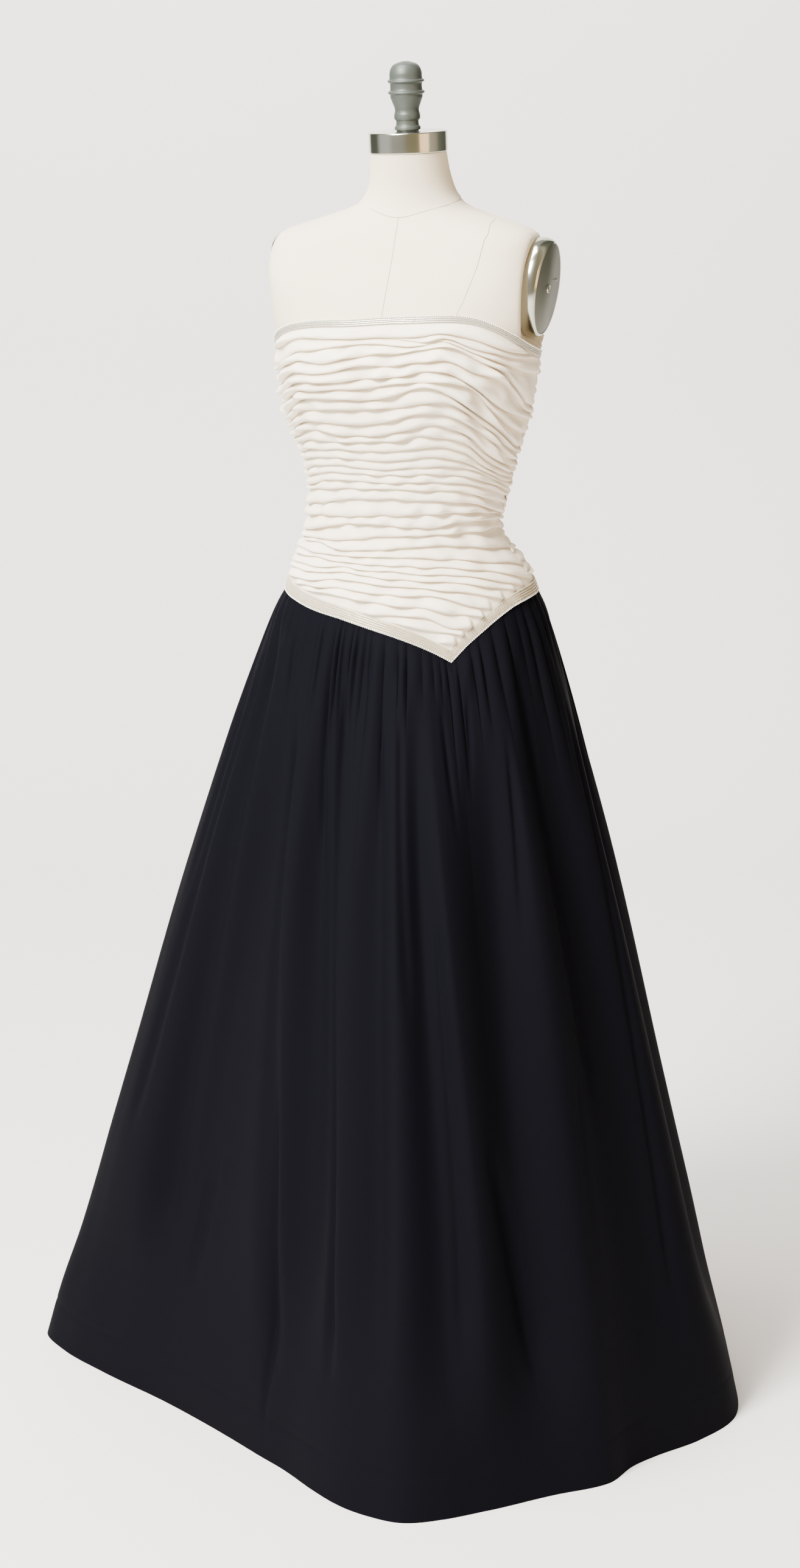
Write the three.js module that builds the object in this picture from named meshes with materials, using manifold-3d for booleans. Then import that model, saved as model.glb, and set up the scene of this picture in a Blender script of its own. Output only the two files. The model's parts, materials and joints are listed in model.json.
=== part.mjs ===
// A strapless ball gown on a limbless dress form: a ruched white bodice whose dropped waist runs to a
// point under the wearer's left bust, two beaded trims, and a black skirt gathered to the dropped waist
// and spread on the floor. Millimetres, +Z up. The floor is z = 0 and the form's axis is x = 0, y = 0.
// The front faces -Y and the wearer's left is +X. Angles run round the axis in degrees from the front
// (0) towards the wearer's left (+90), so the centre back is 180 or -180.
import * as THREE from "three";
import Module from "manifold-3d";

const wasm = await Module();
wasm.setup();

// Walls and clearances
const seamGap = 0.3; // between two pieces at a seam
const ease = 1.8; // between the form and the gown
const bodiceWall = 2.0;
const skirtWall = 2.2;
const trimWall = 1.6;

// The form's body, from the neck's top down to the flat underside below the hips: half widths to the
// side, depths to the front and back of each section's centre, and how far that centre lies behind the
// axis. "square" is the power of the oval: 2 is an ellipse, and more is boxier.
const torsoRows = [
  { z: 1533.5, side: 44, front: 44, back: 44, centre: 11, square: 2 },
  { z: 1512, side: 46, front: 46, back: 47, centre: 16, square: 2 },
  { z: 1494, side: 50, front: 48, back: 51, centre: 20, square: 2 },
  { z: 1482, side: 56, front: 50, back: 56, centre: 21, square: 2 },
  { z: 1472, side: 66, front: 52, back: 61, centre: 21, square: 2 },
  { z: 1461, side: 96, front: 56, back: 67, centre: 20, square: 2.1 },
  { z: 1452, side: 123, front: 60, back: 71, centre: 19, square: 2.3 },
  { z: 1444, side: 145, front: 64, back: 74, centre: 18, square: 2.5 },
  { z: 1434, side: 153, front: 68, back: 77, centre: 16, square: 2.7 },
  { z: 1415, side: 156, front: 75, back: 80, centre: 13, square: 2.8 },
  { z: 1385, side: 157, front: 86, back: 84, centre: 7, square: 2.7 },
  { z: 1350, side: 158, front: 94, back: 89, centre: 1, square: 2.4 },
  { z: 1328, side: 157, front: 98.5, back: 91, centre: 0, square: 2.2 },
  { z: 1307, side: 154, front: 102.5, back: 91, centre: 0, square: 2 },
  { z: 1287, side: 151, front: 105, back: 90, centre: 0, square: 2 },
  { z: 1267, side: 147, front: 104.5, back: 89, centre: 0, square: 2 },
  { z: 1247, side: 143, front: 103, back: 88, centre: 0, square: 2 },
  { z: 1227, side: 138, front: 100, back: 85, centre: 0, square: 2 },
  { z: 1205, side: 130.5, front: 96, back: 82, centre: 0, square: 2 },
  { z: 1180, side: 122.5, front: 91, back: 78, centre: 0, square: 2 },
  { z: 1150, side: 116, front: 86, back: 76, centre: 0, square: 2 },
  { z: 1120, side: 112, front: 83, back: 75, centre: 0, square: 2 },
  { z: 1100, side: 112, front: 83.5, back: 76, centre: 0, square: 2 },
  { z: 1083, side: 119.5, front: 88, back: 81, centre: 0, square: 2 },
  { z: 1060, side: 133.5, front: 97, back: 91, centre: 0, square: 2 },
  { z: 1038, side: 144, front: 106, back: 101, centre: 0, square: 2 },
  { z: 1014, side: 151, front: 113, back: 109, centre: 0, square: 2 },
  { z: 985, side: 155, front: 117, back: 116, centre: 0, square: 2 },
  { z: 935, side: 158, front: 119, back: 123, centre: 0, square: 2 },
  { z: 870, side: 159, front: 119, back: 127, centre: 0, square: 2 },
  { z: 800, side: 155, front: 116, back: 123, centre: 0, square: 2 },
];
const bust = { angle: 37, height: 1287, rise: 15, spreadAngle: 21, spreadHeight: 42 };
// The waist's hollows lie a little aslant, lower on the wearer's left: how far both sides lean right
const waistRows = [
  { z: 1150, aside: 0 },
  { z: 1122, aside: -6 },
  { z: 1100, aside: -9 },
  { z: 1080, aside: -7 },
  { z: 1058, aside: -2 },
  { z: 1038, aside: 0 },
];

// Neck cap and finial, on a neck whose top leans to the wearer's right by a degree or two
const neck = { lean: 1.5, foot: 1482, top: 1533.5 };
const neckCap = { height: 24, radius: 45.5, edge: 1.2, sides: 36 };
const finialRows = [
  { up: 0, radius: 14.3 },
  { up: 7.6, radius: 14.1 },
  { up: 10, radius: 13.2 },
  { up: 15, radius: 11.8 },
  { up: 17, radius: 13.3 },
  { up: 24, radius: 13.6 },
  { up: 25.5, radius: 13.8 },
  { up: 33, radius: 17 },
  { up: 40.5, radius: 18.9 },
  { up: 42, radius: 20.2 },
  { up: 44.5, radius: 20.1 },
  { up: 49.5, radius: 18.2 },
  { up: 54.5, radius: 20.3 },
  { up: 57, radius: 19.7 },
  { up: 58.5, radius: 18.8 },
  { up: 65, radius: 17.5 },
  { up: 71, radius: 13.9 },
  { up: 75.5, radius: 8.6 },
  { up: 77.5, radius: 4.2 },
];
const finialSides = 20;

// Arm plates: ovals with a rounded rim and a flat face, let into the form where arms would be and
// leaning in at the bottom
const plate = { outward: 143, backward: 24, height: 1381.5, halfWidth: 45, halfHeight: 58.5, lean: 8 };
const plateRows = [
  { out: -20, scale: 0.95 },
  { out: 0, scale: 0.99 },
  { out: 5, scale: 1 },
  { out: 12, scale: 0.985 },
  { out: 17, scale: 0.955 },
  { out: 20, scale: 0.92 },
];
const plateSides = 28;
const platePocket = { clearance: 0.3, reach: 60 };
const plateScrew = { radius: 5, head: 1.6, taper: 0.8, sides: 12 };

// Stand: a pole under the form and a round plate on the floor
const pole = { radius: 16, sides: 16 };
const standBase = { radius: 190, rim: 5, top: 13, sides: 32, hub: 32, collar: 26 };

// Bodice: its top edge all round, with heights at each direction
const topEdgeRows = [
  { at: -180, z: 1266 },
  { at: -135, z: 1274 },
  { at: -105, z: 1291 },
  { at: -90, z: 1303 },
  { at: -78, z: 1319 },
  { at: -66, z: 1335 },
  { at: -56, z: 1344 },
  { at: -42, z: 1350 },
  { at: -20, z: 1353 },
  { at: 0, z: 1356 },
  { at: 22, z: 1358 },
  { at: 42, z: 1359 },
  { at: 52, z: 1356 },
  { at: 60, z: 1348 },
  { at: 70, z: 1334 },
  { at: 79, z: 1321 },
  { at: 90, z: 1311 },
  { at: 105, z: 1303 },
  { at: 135, z: 1279 },
  { at: 180, z: 1266 },
];

// The seam between bodice and skirt: its long side falls from the back over the wearer's right hip to
// the point, and its short side rises from the point over the left hip to the back.
const pointAngle = 37.5;
const seamLongRows = [
  { at: -180, z: 1030 },
  { at: -90, z: 1025 },
  { at: -62, z: 1019 },
  { at: -42, z: 1012 },
  { at: -25, z: 1007 },
  { at: -6, z: 998 },
  { at: 8, z: 990 },
  { at: 20, z: 981 },
  { at: 29, z: 972 },
  { at: 37.5, z: 961 },
];
const seamShortRows = [
  { at: 37.5, z: 961 },
  { at: 45, z: 979 },
  { at: 54, z: 996 },
  { at: 63, z: 1010 },
  { at: 73, z: 1020 },
  { at: 90, z: 1025 },
  { at: 180, z: 1030 },
];
const topTrimHeight = 8;
const waistTrimHeight = 13.5;

// Ruched folds: one row for each, with the height of its lower edge at the centre front and how far it
// stands out. Round the body the folds keep their share of the way from the top edge to the fall line,
// which is the long side of the seam carried on past the point.
const foldRows = [
  { z: 1338, out: 2.6 },
  { z: 1325, out: 3.4 },
  { z: 1311, out: 4.2 },
  { z: 1297, out: 4.4 },
  { z: 1284, out: 4.0 },
  { z: 1271, out: 4.4 },
  { z: 1257, out: 4.2 },
  { z: 1243, out: 4.4 },
  { z: 1229, out: 3.8 },
  { z: 1217, out: 3.4 },
  { z: 1206, out: 3.2 },
  { z: 1196, out: 3.0 },
  { z: 1186, out: 2.8 },
  { z: 1177, out: 2.8 },
  { z: 1168, out: 2.6 },
  { z: 1158, out: 3.0 },
  { z: 1146, out: 3.2 },
  { z: 1131, out: 3.6 },
  { z: 1117, out: 3.6 },
  { z: 1102, out: 3.4 },
  { z: 1090, out: 3.0 },
  { z: 1081, out: 2.8 },
  { z: 1073, out: 2.6 },
  { z: 1065, out: 2.6 },
  { z: 1057, out: 2.6 },
  { z: 1049, out: 2.8 },
  { z: 1040, out: 3.0 },
  { z: 1030, out: 3.4 },
  { z: 1020, out: 3.2 },
  { z: 1011, out: 2.6 },
];
const fallRows = [
  ...seamLongRows,
  { at: 60, z: 953 },
  { at: 90, z: 955 },
  { at: 135, z: 1010 },
  { at: 180, z: 1030 },
];
// The bust's folds wander slowly up and down, most at one share of the way down and less around it
const foldSwell = { height: 3.2, waves: 2.6, shift: 0.9, share: 0.2, spread: 0.28 };
const foldCrest = 0.3; // a fold's crest lies this share of its height above its lower edge
const foldTaper = 9; // the folds die away over this height above or below a trim
// How much of its height a fold keeps: none beside the centre-back closing, less at the side seams
const foldFade = { closing: 13, closingWidth: 12, sideShare: 0.55, sideWidth: 14 };
const bodiceRoundSteps = { beforePoint: 11, afterPoint: 5, back: 7 };
const bodiceInnerRows = 19;

// Back closing: a lapped strip over the centre-back zip
const placket = { halfWidth: 8, wall: 1.6, rows: 14 };

// Skirt: where the hem lies on the floor below each direction of the seam
const hemRows = [
  { at: -180, x: -20, y: 428 },
  { at: -158, x: -172, y: 404 },
  { at: -136, x: -318, y: 322 },
  { at: -115, x: -437, y: 204 },
  { at: -100, x: -502, y: 90 },
  { at: -91, x: -520, y: 6 },
  { at: -84, x: -472, y: -46 },
  { at: -76, x: -396, y: -93 },
  { at: -66, x: -315, y: -139 },
  { at: -52, x: -236, y: -186 },
  { at: -35, x: -163, y: -232 },
  { at: -18, x: -94, y: -280 },
  { at: -6, x: -32, y: -327 },
  { at: 5, x: 34, y: -366 },
  { at: 14, x: 92, y: -375 },
  { at: 22, x: 140, y: -353 },
  { at: 30, x: 181, y: -316 },
  { at: 44, x: 247, y: -258 },
  { at: 55, x: 298, y: -211 },
  { at: 62, x: 313, y: -162 },
  { at: 70, x: 336, y: -125 },
  { at: 80, x: 376, y: -70 },
  { at: 92, x: 403, y: 10 },
  { at: 106, x: 380, y: 108 },
  { at: 128, x: 318, y: 246 },
  { at: 152, x: 186, y: 362 },
  { at: 180, x: -20, y: 428 },
];
// How far down the skirt each ring lies, and how far out towards the hem it has come by then
const skirtProfile = [
  { down: 0, out: 0 },
  { down: 0.02, out: 0.034 },
  { down: 0.07, out: 0.1 },
  { down: 0.19, out: 0.24 },
  { down: 0.37, out: 0.422 },
  { down: 0.6, out: 0.625 },
  { down: 0.84, out: 0.845 },
  { down: 0.93, out: 0.938 },
  { down: 1, out: 1 },
];
// Large folds: the direction of each crest and of the valley after it, near the seam and near the hem,
// how deep the valley is, how far the whole fold stands out, and how far down the skirt it runs before
// the stiff hem smooths it
const skirtFoldRows = [
  { crestTop: -170, crestHem: -166, valleyTop: -156, valleyHem: -151, depth: 22, full: 0, end: 0.92 },
  { crestTop: -142, crestHem: -137, valleyTop: -128, valleyHem: -124, depth: 24, full: 0, end: 0.9 },
  { crestTop: -114, crestHem: -112, valleyTop: -100, valleyHem: -100, depth: 18, full: 0, end: 0.88 },
  { crestTop: -68, crestHem: -76, valleyTop: -51, valleyHem: -62, depth: 28, full: 2, end: 0.86 },
  { crestTop: -34, crestHem: -27, valleyTop: -24, valleyHem: -13, depth: 24, full: 0, end: 0.86 },
  { crestTop: -6, crestHem: -1, valleyTop: 4, valleyHem: 8, depth: 18, full: 0, end: 0.86 },
  { crestTop: 12, crestHem: 14, valleyTop: 19, valleyHem: 23, depth: 16, full: 0, end: 0.9 },
  { crestTop: 26, crestHem: 31, valleyTop: 46, valleyHem: 43, depth: 30, full: 0, end: 0.94 },
  { crestTop: 57, crestHem: 60, valleyTop: 71, valleyHem: 77, depth: 24, full: -2, end: 0.96 },
  { crestTop: 84, crestHem: 87, valleyTop: 98, valleyHem: 101, depth: 20, full: -7, end: 0.92 },
  { crestTop: 112, crestHem: 113, valleyTop: 125, valleyHem: 127, depth: 22, full: -7, end: 0.9 },
  { crestTop: 139, crestHem: 140, valleyTop: 152, valleyHem: 153, depth: 24, full: 0, end: 0.9 },
  { crestTop: 165, crestHem: 167, valleyTop: 178, valleyHem: 181, depth: 18, full: 0, end: 0.9 },
];
// A large fold drifts from its place at the seam to its place at the hem, grows to its full depth and
// keeps a little of it at the hem
const foldRun = { driftFrom: 0.12, drift: 0.6, grow: 0.34, fade: 0.2, fadeBefore: 0.16, kept: 0.1 };
// Small gathers all round under the seam; "uneven" is how much they differ and in how many waves
const gathers = { count: 44, depth: 5.4, puff: 0.8, stepsEach: 4, fade: 0.3, atSeam: 0.3, grow: 0.035 };
const gatherUneven = { share: 0.25, waves: 7, shift: 1 };
const skirtTurn = 0.05; // below this share of its length the wall is square to its ring
const skirtFineRows = [0, 0.012, 0.035, 0.07, 0.12, 0.185];
const skirtCoarseRows = [0.26, 0.36, 0.48, 0.6, 0.72, 0.82, 0.89, 0.945, 1];
const coarseEvery = 2; // one coarse column for this many fine ones

const rad = THREE.MathUtils.degToRad;

/** A smooth function through one column of a table, cubic between its rows. */
function smooth(rows, key, column) {
  const slope = rows.map((row, i) => {
    const before = rows[Math.max(0, i - 1)];
    const after = rows[Math.min(rows.length - 1, i + 1)];
    return (after[column] - before[column]) / (after[key] - before[key]);
  });
  const rising = rows[rows.length - 1][key] > rows[0][key];
  return (x) => {
    let i = 0;
    while (i < rows.length - 2 && (rising ? x > rows[i + 1][key] : x < rows[i + 1][key])) i += 1;
    const span = rows[i + 1][key] - rows[i][key];
    const t = THREE.MathUtils.clamp((x - rows[i][key]) / span, 0, 1);
    const t2 = t * t;
    const t3 = t2 * t;
    return (
      (2 * t3 - 3 * t2 + 1) * rows[i][column] +
      (t3 - 2 * t2 + t) * span * slope[i] +
      (3 * t2 - 2 * t3) * rows[i + 1][column] +
      (t3 - t2) * span * slope[i + 1]
    );
  };
}

/** An angle brought into the range from -180 up to 180. */
const wrapped = (angle) => ((((angle + 180) % 360) + 360) % 360) - 180;

/** A smooth step from 0 to 1 while x goes from 0 to 1. */
const eased = (x) => THREE.MathUtils.smoothstep(x, 0, 1);

/** A point at a direction round the axis, at a radius and a height. */
const around = (angle, radius, z) =>
  new THREE.Vector3(radius * Math.sin(rad(angle)), -radius * Math.cos(rad(angle)), z);

// The form's surface

const torsoSide = smooth(torsoRows, "z", "side");
const torsoFront = smooth(torsoRows, "z", "front");
const torsoBack = smooth(torsoRows, "z", "back");
const torsoCentre = smooth(torsoRows, "z", "centre");
const torsoSquare = smooth(torsoRows, "z", "square");
const waistAside = smooth(waistRows, "z", "aside");

/** The form's radius at a direction and a height, with its soft bust. */
function torsoRadius(angle, z) {
  const across = Math.abs(Math.sin(rad(angle))) / torsoSide(z);
  const deep = Math.cos(rad(angle)) > 0 ? torsoFront(z) : torsoBack(z);
  const along = Math.abs(Math.cos(rad(angle))) / deep;
  const power = torsoSquare(z);
  const oval = (across ** power + along ** power) ** (-1 / power);
  const height = ((z - bust.height) / bust.spreadHeight) ** 2;
  const swell = (side) => Math.exp(-(((wrapped(angle) - side) / bust.spreadAngle) ** 2) - height);
  return oval + bust.rise * (swell(bust.angle) + swell(-bust.angle));
}

/** A point over the form's surface: the neck is sheared to lean right, and the waist goes aside. */
function overTorso(angle, z, out) {
  const level = around(angle, torsoRadius(angle, z) + out, z);
  const leaning = eased((z - neck.foot) / (neck.top - neck.foot)) * Math.tan(rad(neck.lean));
  const aside = waistAside(z) * Math.sin(rad(angle)) ** 2;
  return level.add(new THREE.Vector3(aside, torsoCentre(z), level.x * leaning));
}

// Edges and folds of the bodice

const topEdge = smooth(topEdgeRows, "at", "z");
const seamLong = smooth(seamLongRows, "at", "z");
const seamShort = smooth(seamShortRows, "at", "z");
const fallLine = smooth(fallRows, "at", "z");

/** Evenly spaced values from a to b, both included. */
const spaced = (a, b, steps) => Array.from({ length: steps + 1 }, (_, i) => a + ((b - a) * i) / steps);

const frontAngles = [
  ...spaced(-90, pointAngle, bodiceRoundSteps.beforePoint),
  ...spaced(pointAngle, 90, bodiceRoundSteps.afterPoint).slice(1),
];
const backLeftAngles = spaced(90, 180, bodiceRoundSteps.back);
const backRightAngles = spaced(-180, -90, bodiceRoundSteps.back);
const seamStops = [...backRightAngles, ...frontAngles.slice(1), ...backLeftAngles.slice(1)].map((at) => ({
  at,
  z: at <= pointAngle ? seamLong(at) : seamShort(at),
}));

/** The seam's height: straight between the bodice's columns, so that both sides of the seam agree. */
function seamHeight(angle) {
  const a = wrapped(angle);
  const i = Math.max(1, seamStops.findIndex((stop) => stop.at >= a));
  const [from, to] = [seamStops[i - 1], seamStops[i]];
  const past = Math.sin(rad(a - from.at));
  const ahead = Math.sin(rad(to.at - a));
  return THREE.MathUtils.lerp(from.z, to.z, past / (past + ahead));
}

/** The height of a share of the way down from the top edge to the fall line, with the bust's wander. */
function foldHeight(angle, share, number) {
  const a = wrapped(angle);
  const top = topEdge(a);
  const wander = Math.max(0, 1 - Math.abs(share - foldSwell.share) / foldSwell.spread) * foldSwell.height;
  const sway = Math.sin(foldSwell.waves * rad(a) + number * foldSwell.shift) * Math.cos(rad(a)) ** 2;
  return top - share * (top - fallLine(a)) + (Math.abs(a) < 90 ? wander * sway : 0);
}

const centreTop = topEdge(0);
const centreFall = fallLine(0);
const foldShare = (z) => (centreTop - z) / (centreTop - centreFall);

/** One column of the bodice's outer face, from its top edge to the seam. */
function bodiceColumn(angle, lift) {
  const high = topEdge(wrapped(angle));
  const low = seamHeight(angle) + seamGap / 2;
  const underTrim = high - topTrimHeight - seamGap;
  const overTrim = low + waistTrimHeight + seamGap;
  const place = (z, out) => overTorso(angle, z, ease + bodiceWall + out);
  const column = [place(high, 0), place(underTrim, 0)];
  const bound = (z) => THREE.MathUtils.clamp(z, overTrim, underTrim);
  let above = 0;
  foldRows.forEach((fold, number) => {
    const share = foldShare(fold.z);
    const edge = bound(foldHeight(angle, share, number));
    const crest = bound(foldHeight(angle, share - foldCrest * (share - above), number));
    const room = Math.min(underTrim - crest, crest - overTrim) / foldTaper;
    column.push(place(crest, fold.out * lift * eased(room)), place(edge, 0));
    above = share;
  });
  column.push(place(overTrim, 0), place(low, 0));
  return column;
}

/** One column of the bodice's plain inner face. */
function bodiceInnerColumn(angle) {
  const high = topEdge(wrapped(angle));
  const low = seamHeight(angle) + seamGap / 2;
  return spaced(high, low, bodiceInnerRows).map((z) => overTorso(angle, z, ease));
}

// Meshes

const sameCorner = 0.002; // corners closer than this are one

/** Triangles between two open or closed strings of points, each with any number of points. */
function bridge(first, second) {
  const faces = [];
  let [i, j] = [0, 0];
  while (i < first.length - 1 || j < second.length - 1) {
    const nextFirst = (i + 1) / (first.length - 1);
    const nextSecond = (j + 1) / (second.length - 1);
    const stepFirst = j >= second.length - 1 || (i < first.length - 1 && nextFirst <= nextSecond + 1e-9);
    if (stepFirst) {
      faces.push([first[i], second[j], first[i + 1]]);
      i += 1;
    } else {
      faces.push([first[i], second[j], second[j + 1]]);
      j += 1;
    }
  }
  return faces;
}

/** Triangles over a list of strings, each bridged to the next. */
const skin = (strings) => strings.slice(1).flatMap((string, i) => bridge(strings[i], string));

/** The same triangles facing the other way. */
const turned = (faces) => faces.map(([a, b, c]) => [a, c, b]);

/** A geometry from triangles of points: shared corners are merged and empty faces dropped. */
function closed(faces) {
  const index = new Map();
  const points = [];
  const number = (p) => {
    const key = [p.x, p.y, p.z].map((v) => Math.round(v / sameCorner)).join(",");
    if (!index.has(key)) {
      index.set(key, points.length);
      points.push(p);
    }
    return index.get(key);
  };
  const kept = faces.map((f) => f.map(number)).filter(([a, b, c]) => a !== b && b !== c && a !== c);
  const volume = kept.reduce(
    (sum, [a, b, c]) => sum + points[a].dot(new THREE.Vector3().crossVectors(points[b], points[c])),
    0,
  );
  const facing = volume > 0 ? kept : turned(kept);
  const geometry = new THREE.BufferGeometry();
  const flat = points.flatMap((p) => [p.x, p.y, p.z]);
  geometry.setAttribute("position", new THREE.Float32BufferAttribute(flat, 3));
  geometry.setIndex(facing.flat());
  return geometry;
}

/** A wall between an outer and an inner face, each given as strings that run along the wall. */
function wall(outer, inner) {
  const ends = (strings) => [strings.map((s) => s[0]), strings.map((s) => s[s.length - 1])];
  const [outerStart, outerEnd] = ends(outer);
  const [innerStart, innerEnd] = ends(inner);
  return closed([
    ...skin(outer),
    ...turned(skin(inner)),
    ...turned(bridge(outer[0], inner[0])),
    ...bridge(outer[outer.length - 1], inner[inner.length - 1]),
    ...bridge(outerStart, innerStart),
    ...turned(bridge(outerEnd, innerEnd)),
  ]);
}

/** A solid through closed rings of equal length, with a flat fan over its first and last ring. */
function loft(rings) {
  const middle = (ring) =>
    ring.reduce((sum, p) => sum.add(p), new THREE.Vector3()).divideScalar(ring.length);
  const fan = (ring) => ring.map((p, i) => [middle(ring), p, ring[(i + 1) % ring.length]]);
  const looped = rings.map((ring) => [...ring, ring[0]]);
  return closed([...skin(looped), ...fan(rings[0]), ...turned(fan(rings[rings.length - 1]))]);
}

/** The points of a string moved sideways by a distance, within the floor plane, away from a neighbour. */
function shifted(string, neighbour, distance) {
  return string.map((p, i) => {
    const away = new THREE.Vector3().subVectors(p, neighbour[i]).setZ(0).normalize();
    return p.clone().addScaledVector(away, -distance);
  });
}

/** Columns with their first and last one moved in by half a seam's gap. */
function parted(columns) {
  const last = columns.length - 1;
  return columns.map((column, i) => {
    if (i === 0) return shifted(column, columns[1], seamGap / 2);
    if (i === last) return shifted(column, columns[last - 1], seamGap / 2);
    return column;
  });
}

/** A solid of revolution about the axis from rows of height and radius, closed on the axis. */
function turnedSolid(rows, sides) {
  const profile = rows.map((row) => new THREE.Vector2(row.radius, row.z));
  const ends = [new THREE.Vector2(0, rows[0].z), new THREE.Vector2(0, rows[rows.length - 1].z)];
  const geometry = new THREE.LatheGeometry([ends[0], ...profile, ends[1]], sides);
  geometry.rotateX(Math.PI / 2);
  const at = geometry.getAttribute("position");
  const corner = (i) => new THREE.Vector3().fromBufferAttribute(at, i);
  const corners = Array.from(geometry.getIndex().array, corner);
  const faces = corners.flatMap((p, i) => (i % 3 === 0 ? [[p, corners[i + 1], corners[i + 2]]] : []));
  return closed(faces);
}

/** A geometry as a solid that can be cut. */
function solid(geometry) {
  const vertProperties = new Float32Array(geometry.getAttribute("position").array);
  const triVerts = new Uint32Array(geometry.getIndex().array);
  return new wasm.Manifold(new wasm.Mesh({ numProp: 3, vertProperties, triVerts }));
}

/** A cut solid as a geometry again. */
function geometryOf(manifold) {
  const mesh = manifold.getMesh();
  const geometry = new THREE.BufferGeometry();
  geometry.setAttribute("position", new THREE.Float32BufferAttribute(mesh.vertProperties, 3));
  geometry.setIndex(Array.from(mesh.triVerts));
  return geometry;
}

// Finishes

const finish = (color, roughness, metalness) =>
  new THREE.MeshStandardMaterial({ color, roughness, metalness });
const jersey = finish(0xe9e4d8, 0.85, 0);
const polishedSteel = finish(0xc9c9c6, 0.2, 1);
const castMetal = finish(0x8b9090, 0.45, 0.6);
const paintedIron = finish(0x3c3d3f, 0.5, 0.3);
const whiteCrepe = finish(0xf5f1ea, 0.7, 0);
const blackTaffeta = finish(0x14151c, 0.6, 0);
const beading = finish(0xc9c3ae, 0.35, 0.2);

const model = new THREE.Group();

/** Adds a named piece to a group. */
function add(name, geometry, material, group = model) {
  const mesh = new THREE.Mesh(geometry, material);
  mesh.name = name;
  group.add(mesh);
  return mesh;
}

// Dress form

/** The oval rings of an arm plate, or of the pocket that takes it, out along +X. */
function plateRings(rows, grow) {
  return rows.map((row) =>
    spaced(0, 360, plateSides)
      .slice(0, -1)
      .map((turn) => {
        const y = (plate.halfWidth * row.scale + grow) * Math.cos(rad(turn));
        const z = (plate.halfHeight * row.scale + grow) * Math.sin(rad(turn));
        return new THREE.Vector3(row.out, y, z);
      }),
  );
}

/** Puts a geometry made along +X where an arm plate is: side is 1 on the wearer's left, -1 on the right. */
function atArm(geometry, side) {
  const placed = geometry.clone();
  placed.rotateY(rad(plate.lean));
  if (side < 0) placed.rotateZ(Math.PI);
  placed.translate(side * plate.outward, plate.backward, plate.height);
  return placed;
}

function dressForm() {
  const turns = seamStops.slice(1).map((stop) => stop.at);
  const rings = torsoRows.map((row) => turns.map((turn) => overTorso(turn, row.z, 0)));
  const pocketRows = [
    { out: plateRows[0].out - platePocket.clearance, scale: 1 },
    { out: platePocket.reach, scale: 1 },
  ];
  const pocket = loft(plateRings(pocketRows, platePocket.clearance));
  const body = [1, -1].reduce((cut, side) => cut.subtract(solid(atArm(pocket, side))), solid(loft(rings)));
  add("form_torso", geometryOf(body), jersey);

  const { height, radius, edge, sides } = neckCap;
  const capRows = [
    { z: seamGap, radius: radius - edge },
    { z: seamGap + edge, radius },
    { z: height - edge, radius },
    { z: height, radius: radius - edge },
  ];
  const knob = finialRows.map((row) => ({ z: height + seamGap + row.up, radius: row.radius }));
  const neckTop = new THREE.Group();
  neckTop.position.set(0, torsoCentre(neck.top), neck.top);
  neckTop.rotation.set(0, -rad(neck.lean), 0);
  add("neck_cap", turnedSolid(capRows, sides), polishedSteel, neckTop);
  add("finial", turnedSolid(knob, finialSides), castMetal, neckTop);
  model.add(neckTop);

  const face = plateRows[plateRows.length - 1].out;
  const { radius: screwRadius, head, taper, sides: screwSides } = plateScrew;
  const screw = new THREE.CylinderGeometry(screwRadius * taper, screwRadius, head, screwSides);
  screw.rotateZ(-Math.PI / 2);
  screw.translate(face + seamGap + head / 2, 0, 0);
  const plateSolid = loft(plateRings(plateRows, 0));
  [
    ["left", 1],
    ["right", -1],
  ].forEach(([name, side]) => {
    add(`arm_plate_${name}`, atArm(plateSolid, side), polishedSteel);
    add(`arm_screw_${name}`, atArm(screw, side), polishedSteel);
  });
}

function stand() {
  const underside = torsoRows[torsoRows.length - 1].z;
  const { radius, rim, top, sides, hub, collar } = standBase;
  const baseRows = [
    { z: 0, radius },
    { z: rim, radius },
    { z: top, radius: hub },
    { z: top + rim, radius: collar },
  ];
  add("stand_base", turnedSolid(baseRows, sides), paintedIron);
  const poleRows = [
    { z: top + rim + seamGap, radius: pole.radius },
    { z: underside - seamGap, radius: pole.radius },
  ];
  add("stand_pole", turnedSolid(poleRows, pole.sides), polishedSteel);
}

// Bodice and trims

/** How far the folds stand out at a direction: less at the side seams, none at the centre-back closing. */
function foldLift(angle) {
  const fromClosing = 180 - Math.abs(wrapped(angle));
  const fromSide = Math.abs(Math.abs(wrapped(angle)) - 90);
  const closing = eased((fromClosing - foldFade.closing) / foldFade.closingWidth);
  return closing * THREE.MathUtils.lerp(foldFade.sideShare, 1, eased(fromSide / foldFade.sideWidth));
}

/** A ruched panel of the bodice over a run of directions. */
function bodicePanel(angles) {
  const outer = angles.map((angle) => bodiceColumn(angle, foldLift(angle)));
  const inner = angles.map(bodiceInnerColumn);
  return wall(parted(outer), parted(inner));
}

/** A beaded band on the bodice, between two heights at each direction. */
function band(angles, highAt, lowAt) {
  const string = (out) => (angle) =>
    [highAt(angle), lowAt(angle)].map((z) => overTorso(angle, z, ease + bodiceWall + out));
  const outer = angles.map(string(seamGap + trimWall));
  const inner = angles.map(string(seamGap));
  return wall(parted(outer), parted(inner));
}

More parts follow.
